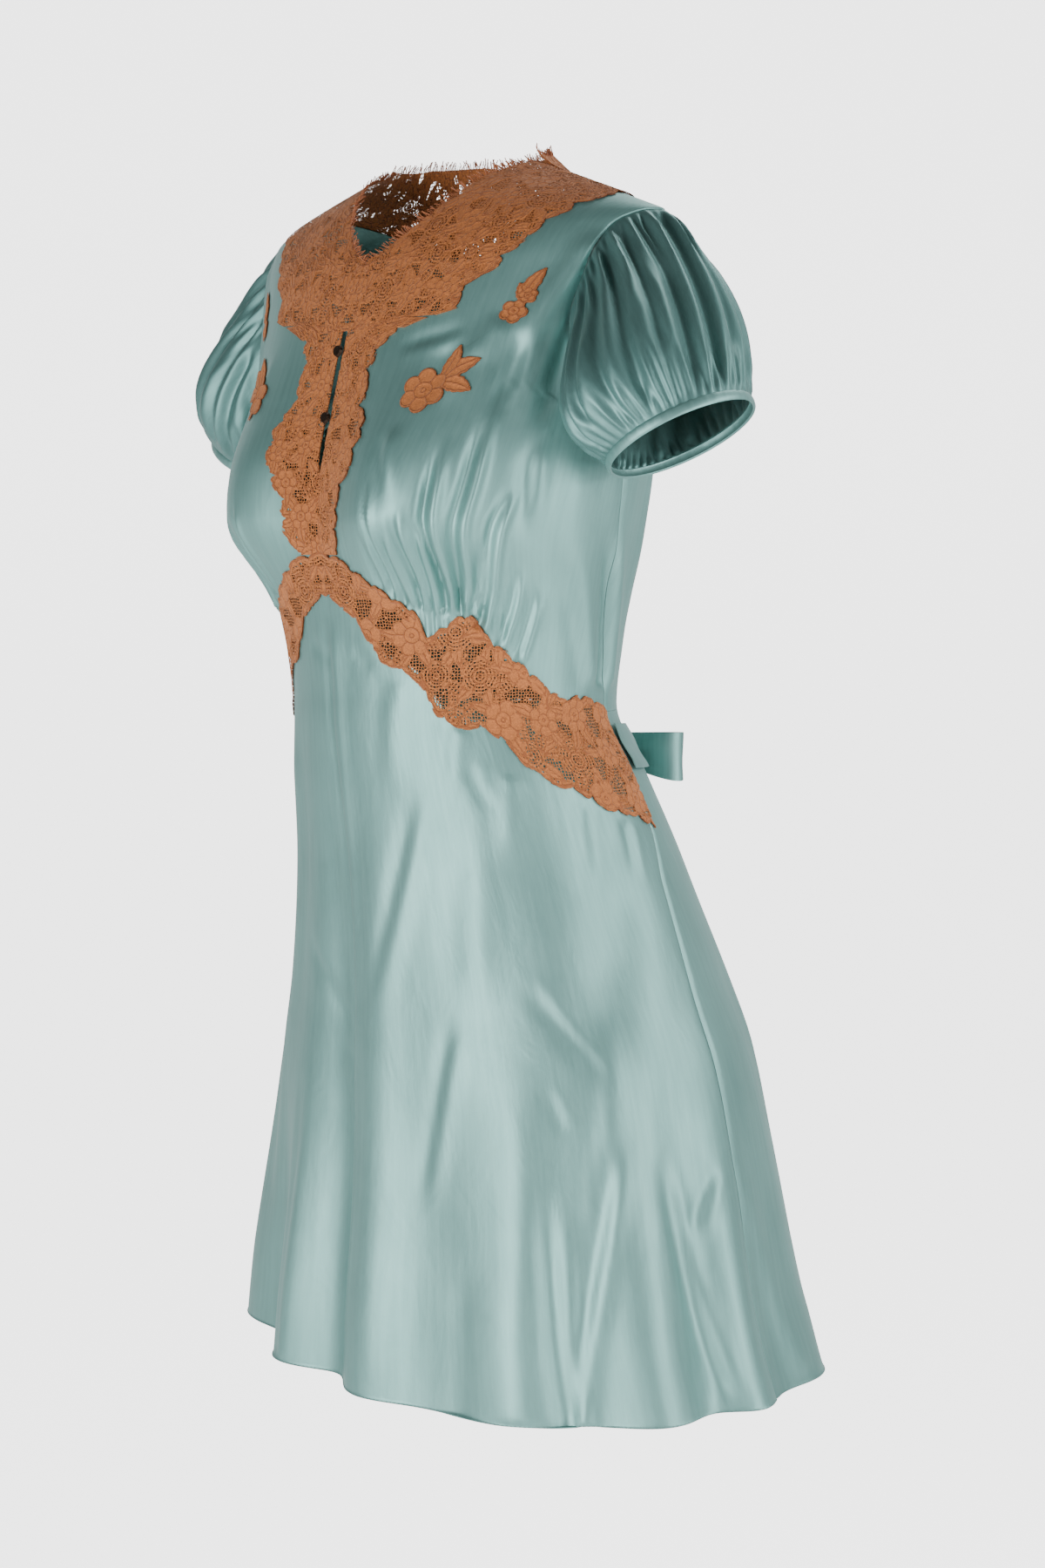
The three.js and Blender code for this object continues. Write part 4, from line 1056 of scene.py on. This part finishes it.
def sided(side, place):
    def mirrored(u, v):
        angle, level = place(u if side > 0 else 1 - u, v)
        return side * angle, level
    return mirrored


# A satin panel raised from the surface. Its weave runs down the panel, laid out by the girth at the bust.
BUST_LEVEL = -240.0


def satin_panel(name, angle, level, raised):
    flat = np.stack([angle * girth(np.full(level.shape, BUST_LEVEL)), level], axis=-1)
    return shell(name, cloth(angle, level, raised), flat, SATIN)


for side, name in SIDES:
    u, v = sheet_grid("front_bodice")
    angle, level = sided(side, front_place)(u, v)
    g = BUST_GATHERS
    turned = np.abs(angle)
    rise = level - band_top(turned)
    gathered = ease(turned, *g["angle_in"]) * (1 - ease(turned, *g["angle_out"]))
    gathered = gathered * ease(rise, *g["rise_in"]) * (1 - ease(rise, *g["rise_out"]))
    drawn = g["height"] * pucker(angle * g["turn"], g["pitch"], SEEDS["bust"]) * gathered
    turned_in = seam_turn(u if side < 0 else 1 - u, "front_bodice")
    piece = satin_panel(f"front_bodice_{name}", angle, level, drawn - turned_in)
    sewn(piece, "bodice_front", f"_{name}")


# Back bodice
BACK_SHOULDER = 0.14


def back_curve(shape, s):
    turn = (math.pi / 2) * np.abs(s)
    at = shape["level"] + (RIDGE - shape["level"]) * (1 - np.cos(turn))
    angle = 180 - front_angle(shape["corner"] * np.sin(turn), at)
    return np.stack([np.where(s < 0, angle, 360 - angle), at])


def back_left(v):
    return side_edge(side_level(v), SEAM, armhole_back)


def back_right(v):
    angle, level = back_left(v)
    return np.stack([360 - angle, level])


def back_bottom(u):
    one = np.zeros(1)
    return np.stack([lerp(back_left(one)[0], back_right(one)[0], u), np.full(u.shape, BACK_WAIST)])


UNDER_LACE = {"level": BACK_LACE["level"] + 2 * OVERLAP, "corner": BACK_LACE["corner"] - 2 * OVERLAP}


def back_top(u):
    s = 2 * u - 1
    share = 1 - 2 * BACK_SHOULDER
    curve = back_curve(UNDER_LACE, np.clip(s / share, -1, 1))
    past = (np.abs(s) - share) / (1 - share)
    one = np.ones(1)
    angle = lerp(back_curve(UNDER_LACE, -one)[0], back_left(one)[0], past)
    angle = np.where(s < 0, angle, 360 - angle)
    outer = np.abs(s) >= share
    return np.stack([np.where(outer, angle, curve[0]), np.where(outer, RIDGE, curve[1])])


back_place = between(back_bottom, back_top, back_left, back_right)
u, v = sheet_grid("back_bodice")
angle, level = back_place(u, v)
drawn = back_gathers(angle, level - BACK_WAIST, SEEDS["back_bodice"])
turned_in = seam_turn(np.minimum(u, 1 - u), "back_bodice")
piece = satin_panel("back_bodice", angle, level, drawn - turned_in)
sewn(piece, "bodice_back")


# Skirt
SKIRT = {"widest": 110, "spread": 0.95}
STITCH = {"spacing": 3.1, "size": (1.1, 0.22, 0.22), "lift": 0.3}


def skirt_front_place(u, v):
    s = 2 * u - 1
    top = band_bottom(np.abs(s) * SKIRT["widest"]) + OVERLAP
    level = lerp(HEM, top, v ** SKIRT["spread"])
    return s * side_edge(level, SEAM_TURNS["under"]["past"], side_seam)[0], level


def skirt_back_place(u, v):
    level = lerp(HEM, BACK_WAIST - SEAM, v ** SKIRT["spread"])
    seam = side_edge(level, SEAM, side_seam)[0]
    return lerp(seam, 360 - seam, u), level


def hem_fold(level):
    top = HEM + HEM_FOLD["height"]
    return HEM_FOLD["depth"] * (1 - ease(level, top - HEM_FOLD["slope"], top + HEM_FOLD["slope"]))


def hem_stitches(name, place):
    across = np.linspace(0.003, 0.997, 500)
    angle = place(across, np.zeros(across.shape))[0]
    level = np.full(across.shape, HEM + HEM_FOLD["height"])
    points = cloth(angle, level, STITCH["lift"])
    size = [length * MM for length in STITCH["size"]]
    values = {"Spacing": STITCH["spacing"] * MM, "Size": size, "Finish": hem_thread}
    return grow(name, STITCHES, points, values)


u, v = sheet_grid("front_skirt")
angle, level = skirt_front_place(u, v)
turned_in = seam_turn(np.minimum(u, 1 - u), "front_skirt", "under")
piece = satin_panel("front_skirt", angle, level, hem_fold(level) - turned_in)
hem = hem_stitches("front_hem_stitches", skirt_front_place)
sewn(piece, "skirt_front")
u, v = sheet_grid("back_skirt")
angle, level = skirt_back_place(u, v)
drawn = back_gathers(angle, BACK_WAIST - level, SEEDS["back_skirt"])
turned_in = seam_turn(np.minimum(u, 1 - u), "back_skirt")
piece = satin_panel("back_skirt", angle, level, hem_fold(level) + drawn - turned_in)
hem = hem_stitches("back_hem_stitches", skirt_back_place)
sewn(piece, "skirt_back")


# Lobes along each edge of the lace, large and small, in millimetres
LOBES = {
    "columns": ["pitch", "depth", "shift"],
    "neck": [[31, 7.5, 0.35], [10.5, 1.6, 0.1]],
    "back": [[28, 4.0, 0.3], [10.5, 1.6, 0.1]],
    "column": [[19, 6.5, 0.45], [8, 1.8, 0.2]],
    "band_low": [[21, 4.4, 0.65], [9, 0.9, 0.3]],
    "band_high": [[18, 3.6, 0.2], [9, 0.9, 0.5]],
}
LOBE_MIDDLE = 0.72
RIDGE_GAP = 0.2
# How far past its edge curve a piece of lace has room for its lobes
ROOM = {"neck": 5.0, "back": 4.0, "column": 5.0, "band": 6.0}
# Sprays of each drawing: the corners of the area that they fill, their pitch, their radius and a seed
SPRAYS = {
    "neck": ((-10, -110), (160, 60), 25, 9.5, 11),
    "back": ((-200, -10), (200, 75), 22, 9.0, 17),
    "column": ((-50, -255), (50, -95), 24, 9.0, 23),
    "band": ((-10, -450), (270, -230), 30, 12.5, 31),
}


def scalloped(edge, position, kind):
    for pitch, depth, shift in LOBES[kind]:
        edge = edge + depth * (lobes(position, pitch, shift) - LOBE_MIDDLE)
    return edge


def slope_of(curve, level):
    return (curve(level + 1) - curve(level - 1)) / 2


def neck_line(side, past):
    def line(share):
        level = lerp(NOTCH + 1, RIDGE - 1, share)
        return cloth(side * front_angle(neck_edge(level) + past, level), level, LACE_LIFT)
    return line


def back_neck_line(past):
    def line(share):
        s = 2 * share - 1
        inner = back_curve(BACK_NECK, s)
        outer = back_curve(BACK_LACE, s)
        angle, level = lerp(inner, outer, past)
        return cloth(angle, np.minimum(level, RIDGE - RIDGE_GAP), LACE_LIFT)
    return line


# Neck lace over each collar bone
neck_motifs = sprays(*SPRAYS["neck"])
for side, name in SIDES:
    u, v = sheet_grid("neck", side)
    level = lerp(KEYHOLE_TOP - OVERLAP, RIDGE - RIDGE_GAP, v)
    inner = np.where(level < NOTCH, 0.1, neck_edge(level))
    outer = lace_outer(level) + ROOM["neck"]
    x = lerp(inner, outer, u)
    out_edge = (lace_outer(level) - x) / np.hypot(1, slope_of(lace_outer, level))
    run = 0.7 * level + 0.8 * lace_outer(level)
    out_edge = scalloped(out_edge, run, "neck")
    foot_edge = level - KEYHOLE_TOP
    edge = np.minimum(out_edge, np.where(x > lace_outer(KEYHOLE_TOP), foot_edge, INSIDE))
    points = cloth(side * front_angle(x, level), level, LACE_LIFT)
    piece = lace_piece(f"lace_neck_{name}", points, x, level, edge, neck_motifs, tips=1.5, spread=0.5)
    seed = SEEDS["eyelash"] + side
    fringe = lashes(f"eyelash_{name}", neck_line(side, 0.2), neck_line(side, LASH["inset"]), seed)
    sewn(piece, "neck_lace", f"_{name}")

# Back neck lace
u, v = sheet_grid("back_neck")
s = 2 * u - 1
outer = back_curve({"level": BACK_LACE["level"] - ROOM["back"], "corner": BACK_LACE["corner"]}, s)
inner = back_curve(BACK_NECK, s)
angle = lerp(outer[0], inner[0], v)
level = np.minimum(lerp(outer[1], inner[1], v), RIDGE - RIDGE_GAP)
p = s * 190
q = v * 62
back_motifs = sprays(*SPRAYS["back"])
edge = scalloped(q - ROOM["back"], p, "back")
points = cloth(angle, level, LACE_LIFT)
piece = lace_piece("lace_neck_back", points, p, q, edge, back_motifs, tips=1.5, spread=1.5)
fringe = lashes("eyelash_back", back_neck_line(0.0), back_neck_line(0.06), SEEDS["back_eyelash"])
sewn(piece, "neck_lace_back")

# Centre lace column with its keyhole slit
u, v = sheet_grid("column")
level = lerp(COLUMN_FOOT, KEYHOLE_TOP + 1, v)
slit = KEYHOLE_HALF * np.clip((level - KEYHOLE_BOTTOM) / 14, 0, 1) ** 0.5 + 0.05
share = np.abs(u - 0.5) * 2
share = (share - share.min()) / (1 - share.min())
x = np.sign(u - 0.5) * lerp(slit, lace_outer(level) + ROOM["column"], share)
out_edge = (lace_outer(level) - np.abs(x)) / np.hypot(1, slope_of(lace_outer, level))
edge = np.minimum(scalloped(out_edge, level * 1.1 + np.sign(x) * 4, "column"), INSIDE)
column_motifs = sprays(*SPRAYS["column"])
slit = np.zeros((u.shape[0] - 1, u.shape[1] - 1), bool)
middle = slit.shape[0] // 2
slit[middle] = level[middle, :-1] > KEYHOLE_BOTTOM
points = cloth(np.sign(x) * front_angle(np.abs(x), level), level, LACE_LIFT)
piece = lace_piece("lace_column", points, x, level, edge, column_motifs, tips=2.0, spread=0.3, slit=slit)
sewn(piece, "centre_lace")

# Waist band halves
BAND_GIRTH = girth(-350)
band_motifs = sprays(*SPRAYS["band"])
for side, name in SIDES:
    u, v = sheet_grid("band", side)
    angle = lerp(0.02, side_seam(-390), u)
    low = band_bottom(angle) - ROOM["band"]
    high = band_top(angle) + ROOM["band"]
    level = lerp(low, high, v)
    p = angle * BAND_GIRTH
    steep_low = np.hypot(1, slope_of(band_bottom, angle) / BAND_GIRTH)
    steep_high = np.hypot(1, slope_of(band_top, angle) / BAND_GIRTH)
    low_edge = (level - band_bottom(angle)) / steep_low
    high_edge = (band_top(angle) - level) / steep_high
    edge = np.minimum(scalloped(low_edge, p * 1.25, "band_low"), scalloped(high_edge, p * 1.2, "band_high"))
    points = cloth(side * angle, level, LACE_LIFT)
    piece = lace_piece(f"lace_waist_{name}", points, p, level, edge, band_motifs, tips=1.2)
    sewn(piece, "waist_lace", f"_{name}")

# Appliques: a flower with three leaves, and a slim spray, on the satin of each side
APPLIQUES = {
    "flower": {"x": 96, "level": -138, "half": 27, "motifs": [
        (leaf, (1, 1, 0.6, 23, 5.6, 1.5), False), (leaf, (0, 2, 1.3, 22, 5.4, -1.0), False),
        (leaf, (2, -1, -0.3, 18, 5.6, 1.0), False), (flower, (-9, -6, 15, 6, 0.4), False),
    ]},
    "slim": {"x": 133, "level": -84, "half": 24, "motifs": [
        (leaf, (-3, -2, 1.15, 24, 4.8, 1.0), False), (leaf, (-2, -4, 1.9, 14, 4.0, -0.8), False),
        (flower, (-6, -10, 8.0, 5, 0.2), False), (flower, (0, 0, 5.6, 5, 0.8), False),
    ]},
}
for side, name in SIDES:
    for kind, place in APPLIQUES.items():
        cells = int(place["half"] * 2.4)
        u, v = grid_shares(cells, cells)
        p = lerp(-place["half"], place["half"], u)
        q = lerp(-place["half"], place["half"], v)
        x = side * place["x"] + p
        level = place["level"] + q
        points = cloth(np.sign(x) * front_angle(np.abs(x), level), level, APPLIQUE_LIFT)
        outside = np.full(u.shape, -INSIDE)
        tips = CORD_FAR + INSIDE
        piece = lace_piece(f"lace_{kind}_{name}", points, side * p, q, outside, place["motifs"], tips)
        sewn(piece, f"applique_{kind}", f"_{name}")


# Puff sleeves, lofted from the armhole to the cuff
cuff_axis = unit(np.array(CUFF["axis"], float))
cuff_out = unit(np.array([1.0, 0, 0]) - cuff_axis * cuff_axis[0])
cuff_front = np.cross(cuff_axis, cuff_out)
cuff_centre = np.array(CUFF["centre"], float)


def armhole_path(side):
    rising = np.linspace(UNDERARM_SHARE, 1, 60)
    front = (ARMHOLE_IN, armhole_front, rising)
    back = (-ARMHOLE_IN, armhole_back, rising[::-1])
    points = []
    for gap, edge, shares in (front, back):
        angle, level = side_edge(side_level(shares), gap, edge)
        points.append(body(side * angle, level))
    corners = np.concatenate(points)
    corners[0] = (corners[0] + corners[-1]) / 2
    corners = np.concatenate([corners[:-1], corners[:1]])
    corners[:, 0] *= side
    return corners


def along_path(path, share):
    lengths = np.concatenate([[0], np.cumsum(np.linalg.norm(np.diff(path, axis=0), axis=1))])
    at = np.mod(share, 1) * lengths[-1]
    return np.stack([np.interp(at, lengths, path[:, k]) for k in range(3)], axis=-1)


def cuff_direction(around):
    turn = math.tau * around[..., None]
    return -cuff_out * np.cos(turn) + cuff_front * np.sin(turn)


# Long pleats of the sleeve: the valley's place round the head and round the cuff, its width and depth, and
# the shares along the sleeve where it starts and ends
SLEEVE_PLEATS = {
    "columns": ["head", "cuff", "width", "depth", "start", "end"],
    "rows": [
        [0.20, 0.135, 0.010, 5.0, 0.3, 1.0], [0.29, 0.20, 0.009, 6.0, 0.15, 1.0],
        [0.33, 0.238, 0.008, 6.0, 0.0, 0.9], [0.365, 0.30, 0.008, 5.0, 0.0, 1.0],
        [0.40, 0.355, 0.009, 7.5, 0.0, 1.0], [0.44, 0.405, 0.008, 5.0, 0.0, 0.8],
        [0.475, 0.455, 0.009, 6.5, 0.0, 1.0], [0.505, 0.51, 0.008, 6.0, 0.0, 1.0],
        [0.54, 0.565, 0.008, 5.0, 0.0, 0.9], [0.57, 0.61, 0.009, 5.5, 0.0, 1.0],
        [0.61, 0.67, 0.009, 4.5, 0.0, 0.9], [0.66, 0.735, 0.010, 5.0, 0.0, 1.0],
        [0.72, 0.80, 0.010, 4.0, 0.0, 0.9], [0.79, 0.87, 0.011, 4.0, 0.1, 1.0],
        [0.88, 0.94, 0.012, 3.0, 0.2, 1.0], [0.08, 0.05, 0.012, 3.0, 0.2, 1.0],
        [0.255, 0.17, 0.007, 3.5, 0.5, 1.0], [0.42, 0.38, 0.006, 3.0, 0.4, 1.0],
        [0.46, 0.43, 0.006, 3.0, 0.0, 0.5], [0.345, 0.27, 0.006, 3.0, 0.0, 0.5],
    ],
}


# A pleat's width grows towards its middle, with a ridge on either side of its valley, one higher
PLEAT = {
    "lead": -0.2, "wide": 0.7, "swell": 0.5, "ridge_at": 2.3, "ridge_width": 1.1, "ridge": 0.5,
    "far_ridge": 0.25, "start": 0.12, "end": 0.16, "end_at": 0.02, "share": 0.75,
}
SLEEVE_GATHERS = {
    "cuff": {"height": 1.3, "pitch": 6.4, "in": (0.62, 0.93), "out": (0.96, 1)},
    "head": {"height": 1.6, "pitch": 7.5, "in": (0.0, 0.06), "out": (0.12, 0.42), "top": (0.1, 0.6)},
    "tuck": 0.03,
}


def sleeve_gather(name, around, along, length):
    g = SLEEVE_GATHERS[name]
    where = ease(along, *g["in"]) * (1 - ease(along, *g["out"]))
    return g["height"] * pucker(around * length, g["pitch"], SEEDS[name]) * where


def sleeve_surface(path, around, along):
    start = along_path(path, around)
    way = cuff_direction(around)
    end = cuff_centre + way * CUFF["radius"]
    turn = math.tau * around
    top = np.maximum(0, -np.cos(turn))
    front = np.maximum(0, np.sin(turn))
    back = np.maximum(0, -np.sin(turn))
    under = np.maximum(0, np.cos(turn))
    bulge = BULGE["outer"] * top + BULGE["under"] * under
    bulge = bulge + BULGE["front"] * front ** BULGE["roundness"] + BULGE["back"] * back ** BULGE["roundness"]
    puff = bulge * np.sin(math.pi * along ** lerp(*BULGE["sag"], front))
    folds = np.zeros(around.shape)
    for head, foot, width, depth, start_at, end_at in SLEEVE_PLEATS["rows"]:
        away = around - lerp(head, foot, ease(along, PLEAT["lead"], 1))
        away = away - np.round(away)
        wide = width * (PLEAT["wide"] + PLEAT["swell"] * np.sin(math.pi * along))
        ridge_at = PLEAT["ridge_at"] * wide
        ridge_width = PLEAT["ridge_width"] * wide
        ridges = PLEAT["ridge"] * bell(away - ridge_at, ridge_width)
        ridges = ridges + PLEAT["far_ridge"] * bell(away + ridge_at, ridge_width)
        length = ease(along, start_at, start_at + PLEAT["start"])
        length = length * (1 - ease(along, end_at - PLEAT["end"], end_at - PLEAT["end_at"]))
        folds = folds + depth * (ridges - bell(away, wide)) * length * PLEAT["share"]
    gather = sleeve_gather("head", around, along, SLEEVE_HEAD) * ease(top, *SLEEVE_GATHERS["head"]["top"])
    gather = gather + sleeve_gather("cuff", around, along, CUFF_LENGTH)
    tuck = SLEEVE_TUCK * (1 - ease(along, 0, SLEEVE_GATHERS["tuck"]))
    return lerp(start, end, along[..., None]) + way * (puff + folds + gather - tuck)[..., None]


# A piece that closes on itself, with the width and length of its flat cloth in millimetres
def tube(name, points, width, length, thickness=SATIN):
    middle = points.mean(axis=0, keepdims=True)
    facing = np.sum(surface_normals(points, True) * (points - middle), axis=-1).mean()
    u, v = grid_shares(points.shape[0], points.shape[1] - 1)
    flat = np.stack([u * width, v * length], axis=-1)
    return shell(name, points if facing > 0 else points[::-1], flat, thickness, closed=True)


for side, name in SIDES:
    path = armhole_path(side)
    around, along = ring_grid("sleeve")
    points = sleeve_surface(path, around, along) * np.array([side, 1, 1])
    piece = tube(f"puff_sleeve_{name}", points, *SLEEVE_FLAT)
    sewn(piece, "sleeve", f"_{name}")
    around, along = ring_grid("cuff")
    swell = CUFF["swell"] * np.sin(math.pi * along) ** 0.5
    puckers = CUFF["pucker"] * pucker(around * CUFF_LENGTH, CUFF["pitch"], SEEDS["cuff"])
    swell = swell + puckers * (1 - along)
    down = CUFF["gap"] - CUFF["over"] + along * CUFF["depth"]
    points = cuff_centre + cuff_axis * down[..., None]
    points = points + cuff_direction(around) * (CUFF["radius"] + swell)[..., None]
    piece = tube(f"cuff_binding_{name}", points * np.array([side, 1, 1]), CUFF_LENGTH, 7, CUFF["thickness"])
    sewn(piece, "cuff", f"_{name}")

# Ties and bow
TIE_FLAT = (140, 30)
TAIL_FLAT = (28, 175)
TIE = {"start": 113, "end": 173.5, "level": -378, "end_level": -384, "half": 15, "end_half": 8, "lift": 3.0}
BOW = {
    "level": -384, "gap": 3.0, "seat": 0.3, "loop": 62, "thick": 15, "half": 17, "out": 14, "drop": 7,
    "tail": 175, "tail_half": 14, "tail_top": 5, "tail_spread": 36, "tail_wave": 3,
}
KNOT = (13.0, 9.0, 12.0)
# Soft pleats and rolls: the height of each, its waves across the cloth and its place in them
TIE_PLEATS = {"height": 0.9, "waves": 2.0, "phase": 0.8, "fine": 0.5, "fine_waves": 1.3, "along": 5}
KNOT_PLEATS = {"height": 0.05, "waves": 7, "along": 3}
LOOP_PLEATS = {"height": 1.2, "waves": 1.5, "phase": 1.0, "fine": 0.8, "along": 5, "sideways": 0.3}
TAIL_ROLL = {"height": 1.6, "waves": 1.1, "along": 4, "wave_turn": 6}
for side, name in SIDES:
    u, v = sheet_grid("tie", side)
    half = lerp(TIE["half"], TIE["end_half"], ease(u, 0.3, 1))
    angle = lerp(TIE["start"], TIE["end"], u)
    level = lerp(TIE["level"], TIE["end_level"], u) + lerp(-half, half, v)
    w = TIE_PLEATS
    pleat = w["height"] * np.sin(v * math.tau * w["waves"] + w["phase"]) * ease(u, 0.2, 1)
    pleat = pleat + w["fine"] * np.sin(v * math.tau * w["fine_waves"] + u * w["along"])
    points = cloth(side * angle, level, TIE["lift"] + pleat)
    flat = np.stack([u * TIE_FLAT[0], v * TIE_FLAT[1]], axis=-1)
    piece = shell(f"tie_strip_{name}", points, flat, SATIN)
    sewn(piece, "tie", f"_{name}")
knot_at = body(180.0, BOW["level"]) + np.array([0, BOW["gap"] + KNOT[1], 0])
around, along = ring_grid("bow_wrap", 0.02, 0.98)
turn = math.tau * around
lift = math.pi * (along - 0.5)
pleats = 1 + KNOT_PLEATS["height"] * np.sin(turn * KNOT_PLEATS["waves"] + along * KNOT_PLEATS["along"])
points = np.stack([
    KNOT[0] * np.cos(lift) * np.cos(turn) * pleats,
    KNOT[1] * np.cos(lift) * np.sin(turn) * pleats,
    KNOT[2] * np.sin(lift),
], axis=-1) + knot_at
sewn(tube("bow_wrap", points, width=70, length=38), "bow_knot")
for side, name in SIDES:
    around, v = ring_grid("bow_fold")
    turn = math.tau * around
    reach = (1 - np.cos(turn)) / 2
    w = LOOP_PLEATS
    crumple = w["height"] * np.sin(v * math.tau * w["waves"] + w["phase"]) * (1 - reach)
    crumple = crumple + w["fine"] * np.sin(v * w["along"] + turn)
    across = KNOT[0] + BOW["seat"] + reach * BOW["loop"] + (2 * reach - 1) * crumple * w["sideways"]
    deep = BOW["out"] * reach + np.sin(turn) * (BOW["thick"] * (0.25 + 0.75 * reach) + crumple)
    half = BOW["half"] * (0.45 + 0.55 * reach)
    up = lerp(-half, half, v) - reach * BOW["drop"]
    points = np.stack([side * across, knot_at[1] + deep, knot_at[2] + up], axis=-1)
    sewn(tube(f"bow_fold_{name}", points, width=190, length=34), "bow_loop", f"_{name}")
    u, v = sheet_grid("bow_end")
    down = KNOT[2] + BOW["seat"] + (1 - v) * BOW["tail"]
    half = lerp(BOW["tail_half"], BOW["tail_top"], ease(v, 0.5, 1))
    spread = BOW["tail_top"] + BOW["seat"] + (1 - v) ** 0.7 * BOW["tail_spread"]
    across = side * spread + lerp(-half, half, u)
    level = knot_at[2] - down
    back = body(180 - across * 0.5, level)
    w = TAIL_ROLL
    wave = BOW["tail_wave"] * np.sin(w["wave_turn"] * v + side) * (1 - ease(v, 0.85, 1))
    roll = w["height"] * np.sin(u * math.tau * w["waves"] + v * w["along"]) * (1 - ease(v, 0.9, 1))
    near = np.maximum(back[..., 1] + BOW["out"] + wave, back[..., 1] + BOW["gap"] + 2)
    y = lerp(near, knot_at[1] - SATIN / 2, ease(v, 0.7, 1)) + roll
    points = np.stack([across, y, level], axis=-1)[::-1]
    flat = np.stack([u * TAIL_FLAT[0], v * TAIL_FLAT[1]], axis=-1)
    piece = shell(f"bow_end_{name}", points, flat, SATIN)
    sewn(piece, "bow_tail", f"_{name}")


# Dark metal hooks
for node in ("closure_upper", "closure_lower"):
    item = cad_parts[node]
    item.data.materials.clear()
    item.data.materials.append(hook_metal)


# Stage, lights and camera
def paper_material(name, colour, roughness, glow, seen_glow):
    material, tree, surface = start_material(name)
    feed(tree, surface, {
        "Base Color": (*colour, 1),
        "Roughness": roughness,
        "Emission Color": (*colour, 1),
        "Emission Strength": seen_or_lit(tree, glow, seen_glow),
    })
    return material


SEEN_GLOW = 3.2
FLOOR_LEVEL = -1.2
SWEEP_RADIUS = 1.2
profile = [(-3.0 + step * 0.5, FLOOR_LEVEL) for step in range(12)]
for step in range(13):
    turn = math.radians(step * 7.5)
    profile.append((2.8 + SWEEP_RADIUS * math.sin(turn), FLOOR_LEVEL + SWEEP_RADIUS * (1 - math.cos(turn))))
profile.append((4.0, 3.5))
sweep_vertices = [(x, y, z) for y, z in profile for x in (-6.0, 6.0)]
sweep_faces = [(2 * n, 2 * n + 1, 2 * n + 3, 2 * n + 2) for n in range(len(profile) - 1)]
sweep_mesh = bpy.data.meshes.new("backdrop")
sweep_mesh.from_pydata(sweep_vertices, [], sweep_faces)
sweep_mesh.polygons.foreach_set("use_smooth", [True] * len(sweep_faces))
sweep = bpy.data.objects.new("backdrop", sweep_mesh)
bpy.context.scene.collection.objects.link(sweep)
sweep_mesh.transform(Matrix.Rotation(math.radians(CAMERA_TURN), 4, "Z"))
sweep_mesh.materials.append(paper_material("backdrop_paper", (0.93, 0.93, 0.93), 0.9, 0.55, SEEN_GLOW))


def soft_light(name, place, target, size, power):
    lamp = bpy.data.lights.new(name, "AREA")
    lamp.shape = "RECTANGLE"
    lamp.size = size[0]
    lamp.size_y = size[1]
    lamp.energy = power
    item = bpy.data.objects.new(name, lamp)
    item.location = place
    item.rotation_euler = (Vector(target) - Vector(place)).to_track_quat("-Z", "Y").to_euler()
    bpy.context.scene.collection.objects.link(item)


def from_camera(right, towards, up):
    turn = math.radians(CAMERA_TURN)
    across = Vector((math.cos(turn), math.sin(turn), 0))
    ahead = Vector((-math.sin(turn), math.cos(turn), 0))
    return across * right - ahead * towards + Vector((0, 0, up))


# Each softbox's place from the camera's side, its target, its size and its power
SOFTBOXES = {
    "left_softbox": ((-1.35, 1.55, -0.58), (0, 0, -0.45), (1.2, 0.9), 42),
    "right_softbox": ((1.45, 1.5, -0.38), (0, 0, -0.4), (1.0, 1.1), 26),
    "top_softbox": ((0.7, -0.6, 1.1), (0.1, 0, -0.1), (1.1, 0.8), 14),
    "right_rim_softbox": ((1.6, 0.5, 0.3), (0.15, 0, -0.15), (0.6, 0.8), 15),
}
for name, (place, target, size, power) in SOFTBOXES.items():
    soft_light(name, from_camera(*place), target, size, power)
world = bpy.data.worlds.new("studio_air")
world.use_nodes = True
air = world.node_tree
feed(air, air.nodes["Background"], {"Color": (1, 1, 1, 1), "Strength": seen_or_lit(air, 0.07, SEEN_GLOW)})
bpy.context.scene.world = world

camera_data = bpy.data.cameras.new("camera")
camera_data.lens = CAMERA_LENS
camera_data.sensor_width = 36
camera = bpy.data.objects.new("camera", camera_data)
camera.location = CAMERA_PLACE
dip = math.radians(CAMERA_DIP)
turn = math.radians(CAMERA_TURN)
ahead = Vector((-math.sin(turn) * math.cos(dip), math.cos(turn) * math.cos(dip), -math.sin(dip)))
camera.rotation_euler = ahead.to_track_quat("-Z", "Y").to_euler()
bpy.context.scene.collection.objects.link(camera)
bpy.context.scene.camera = camera
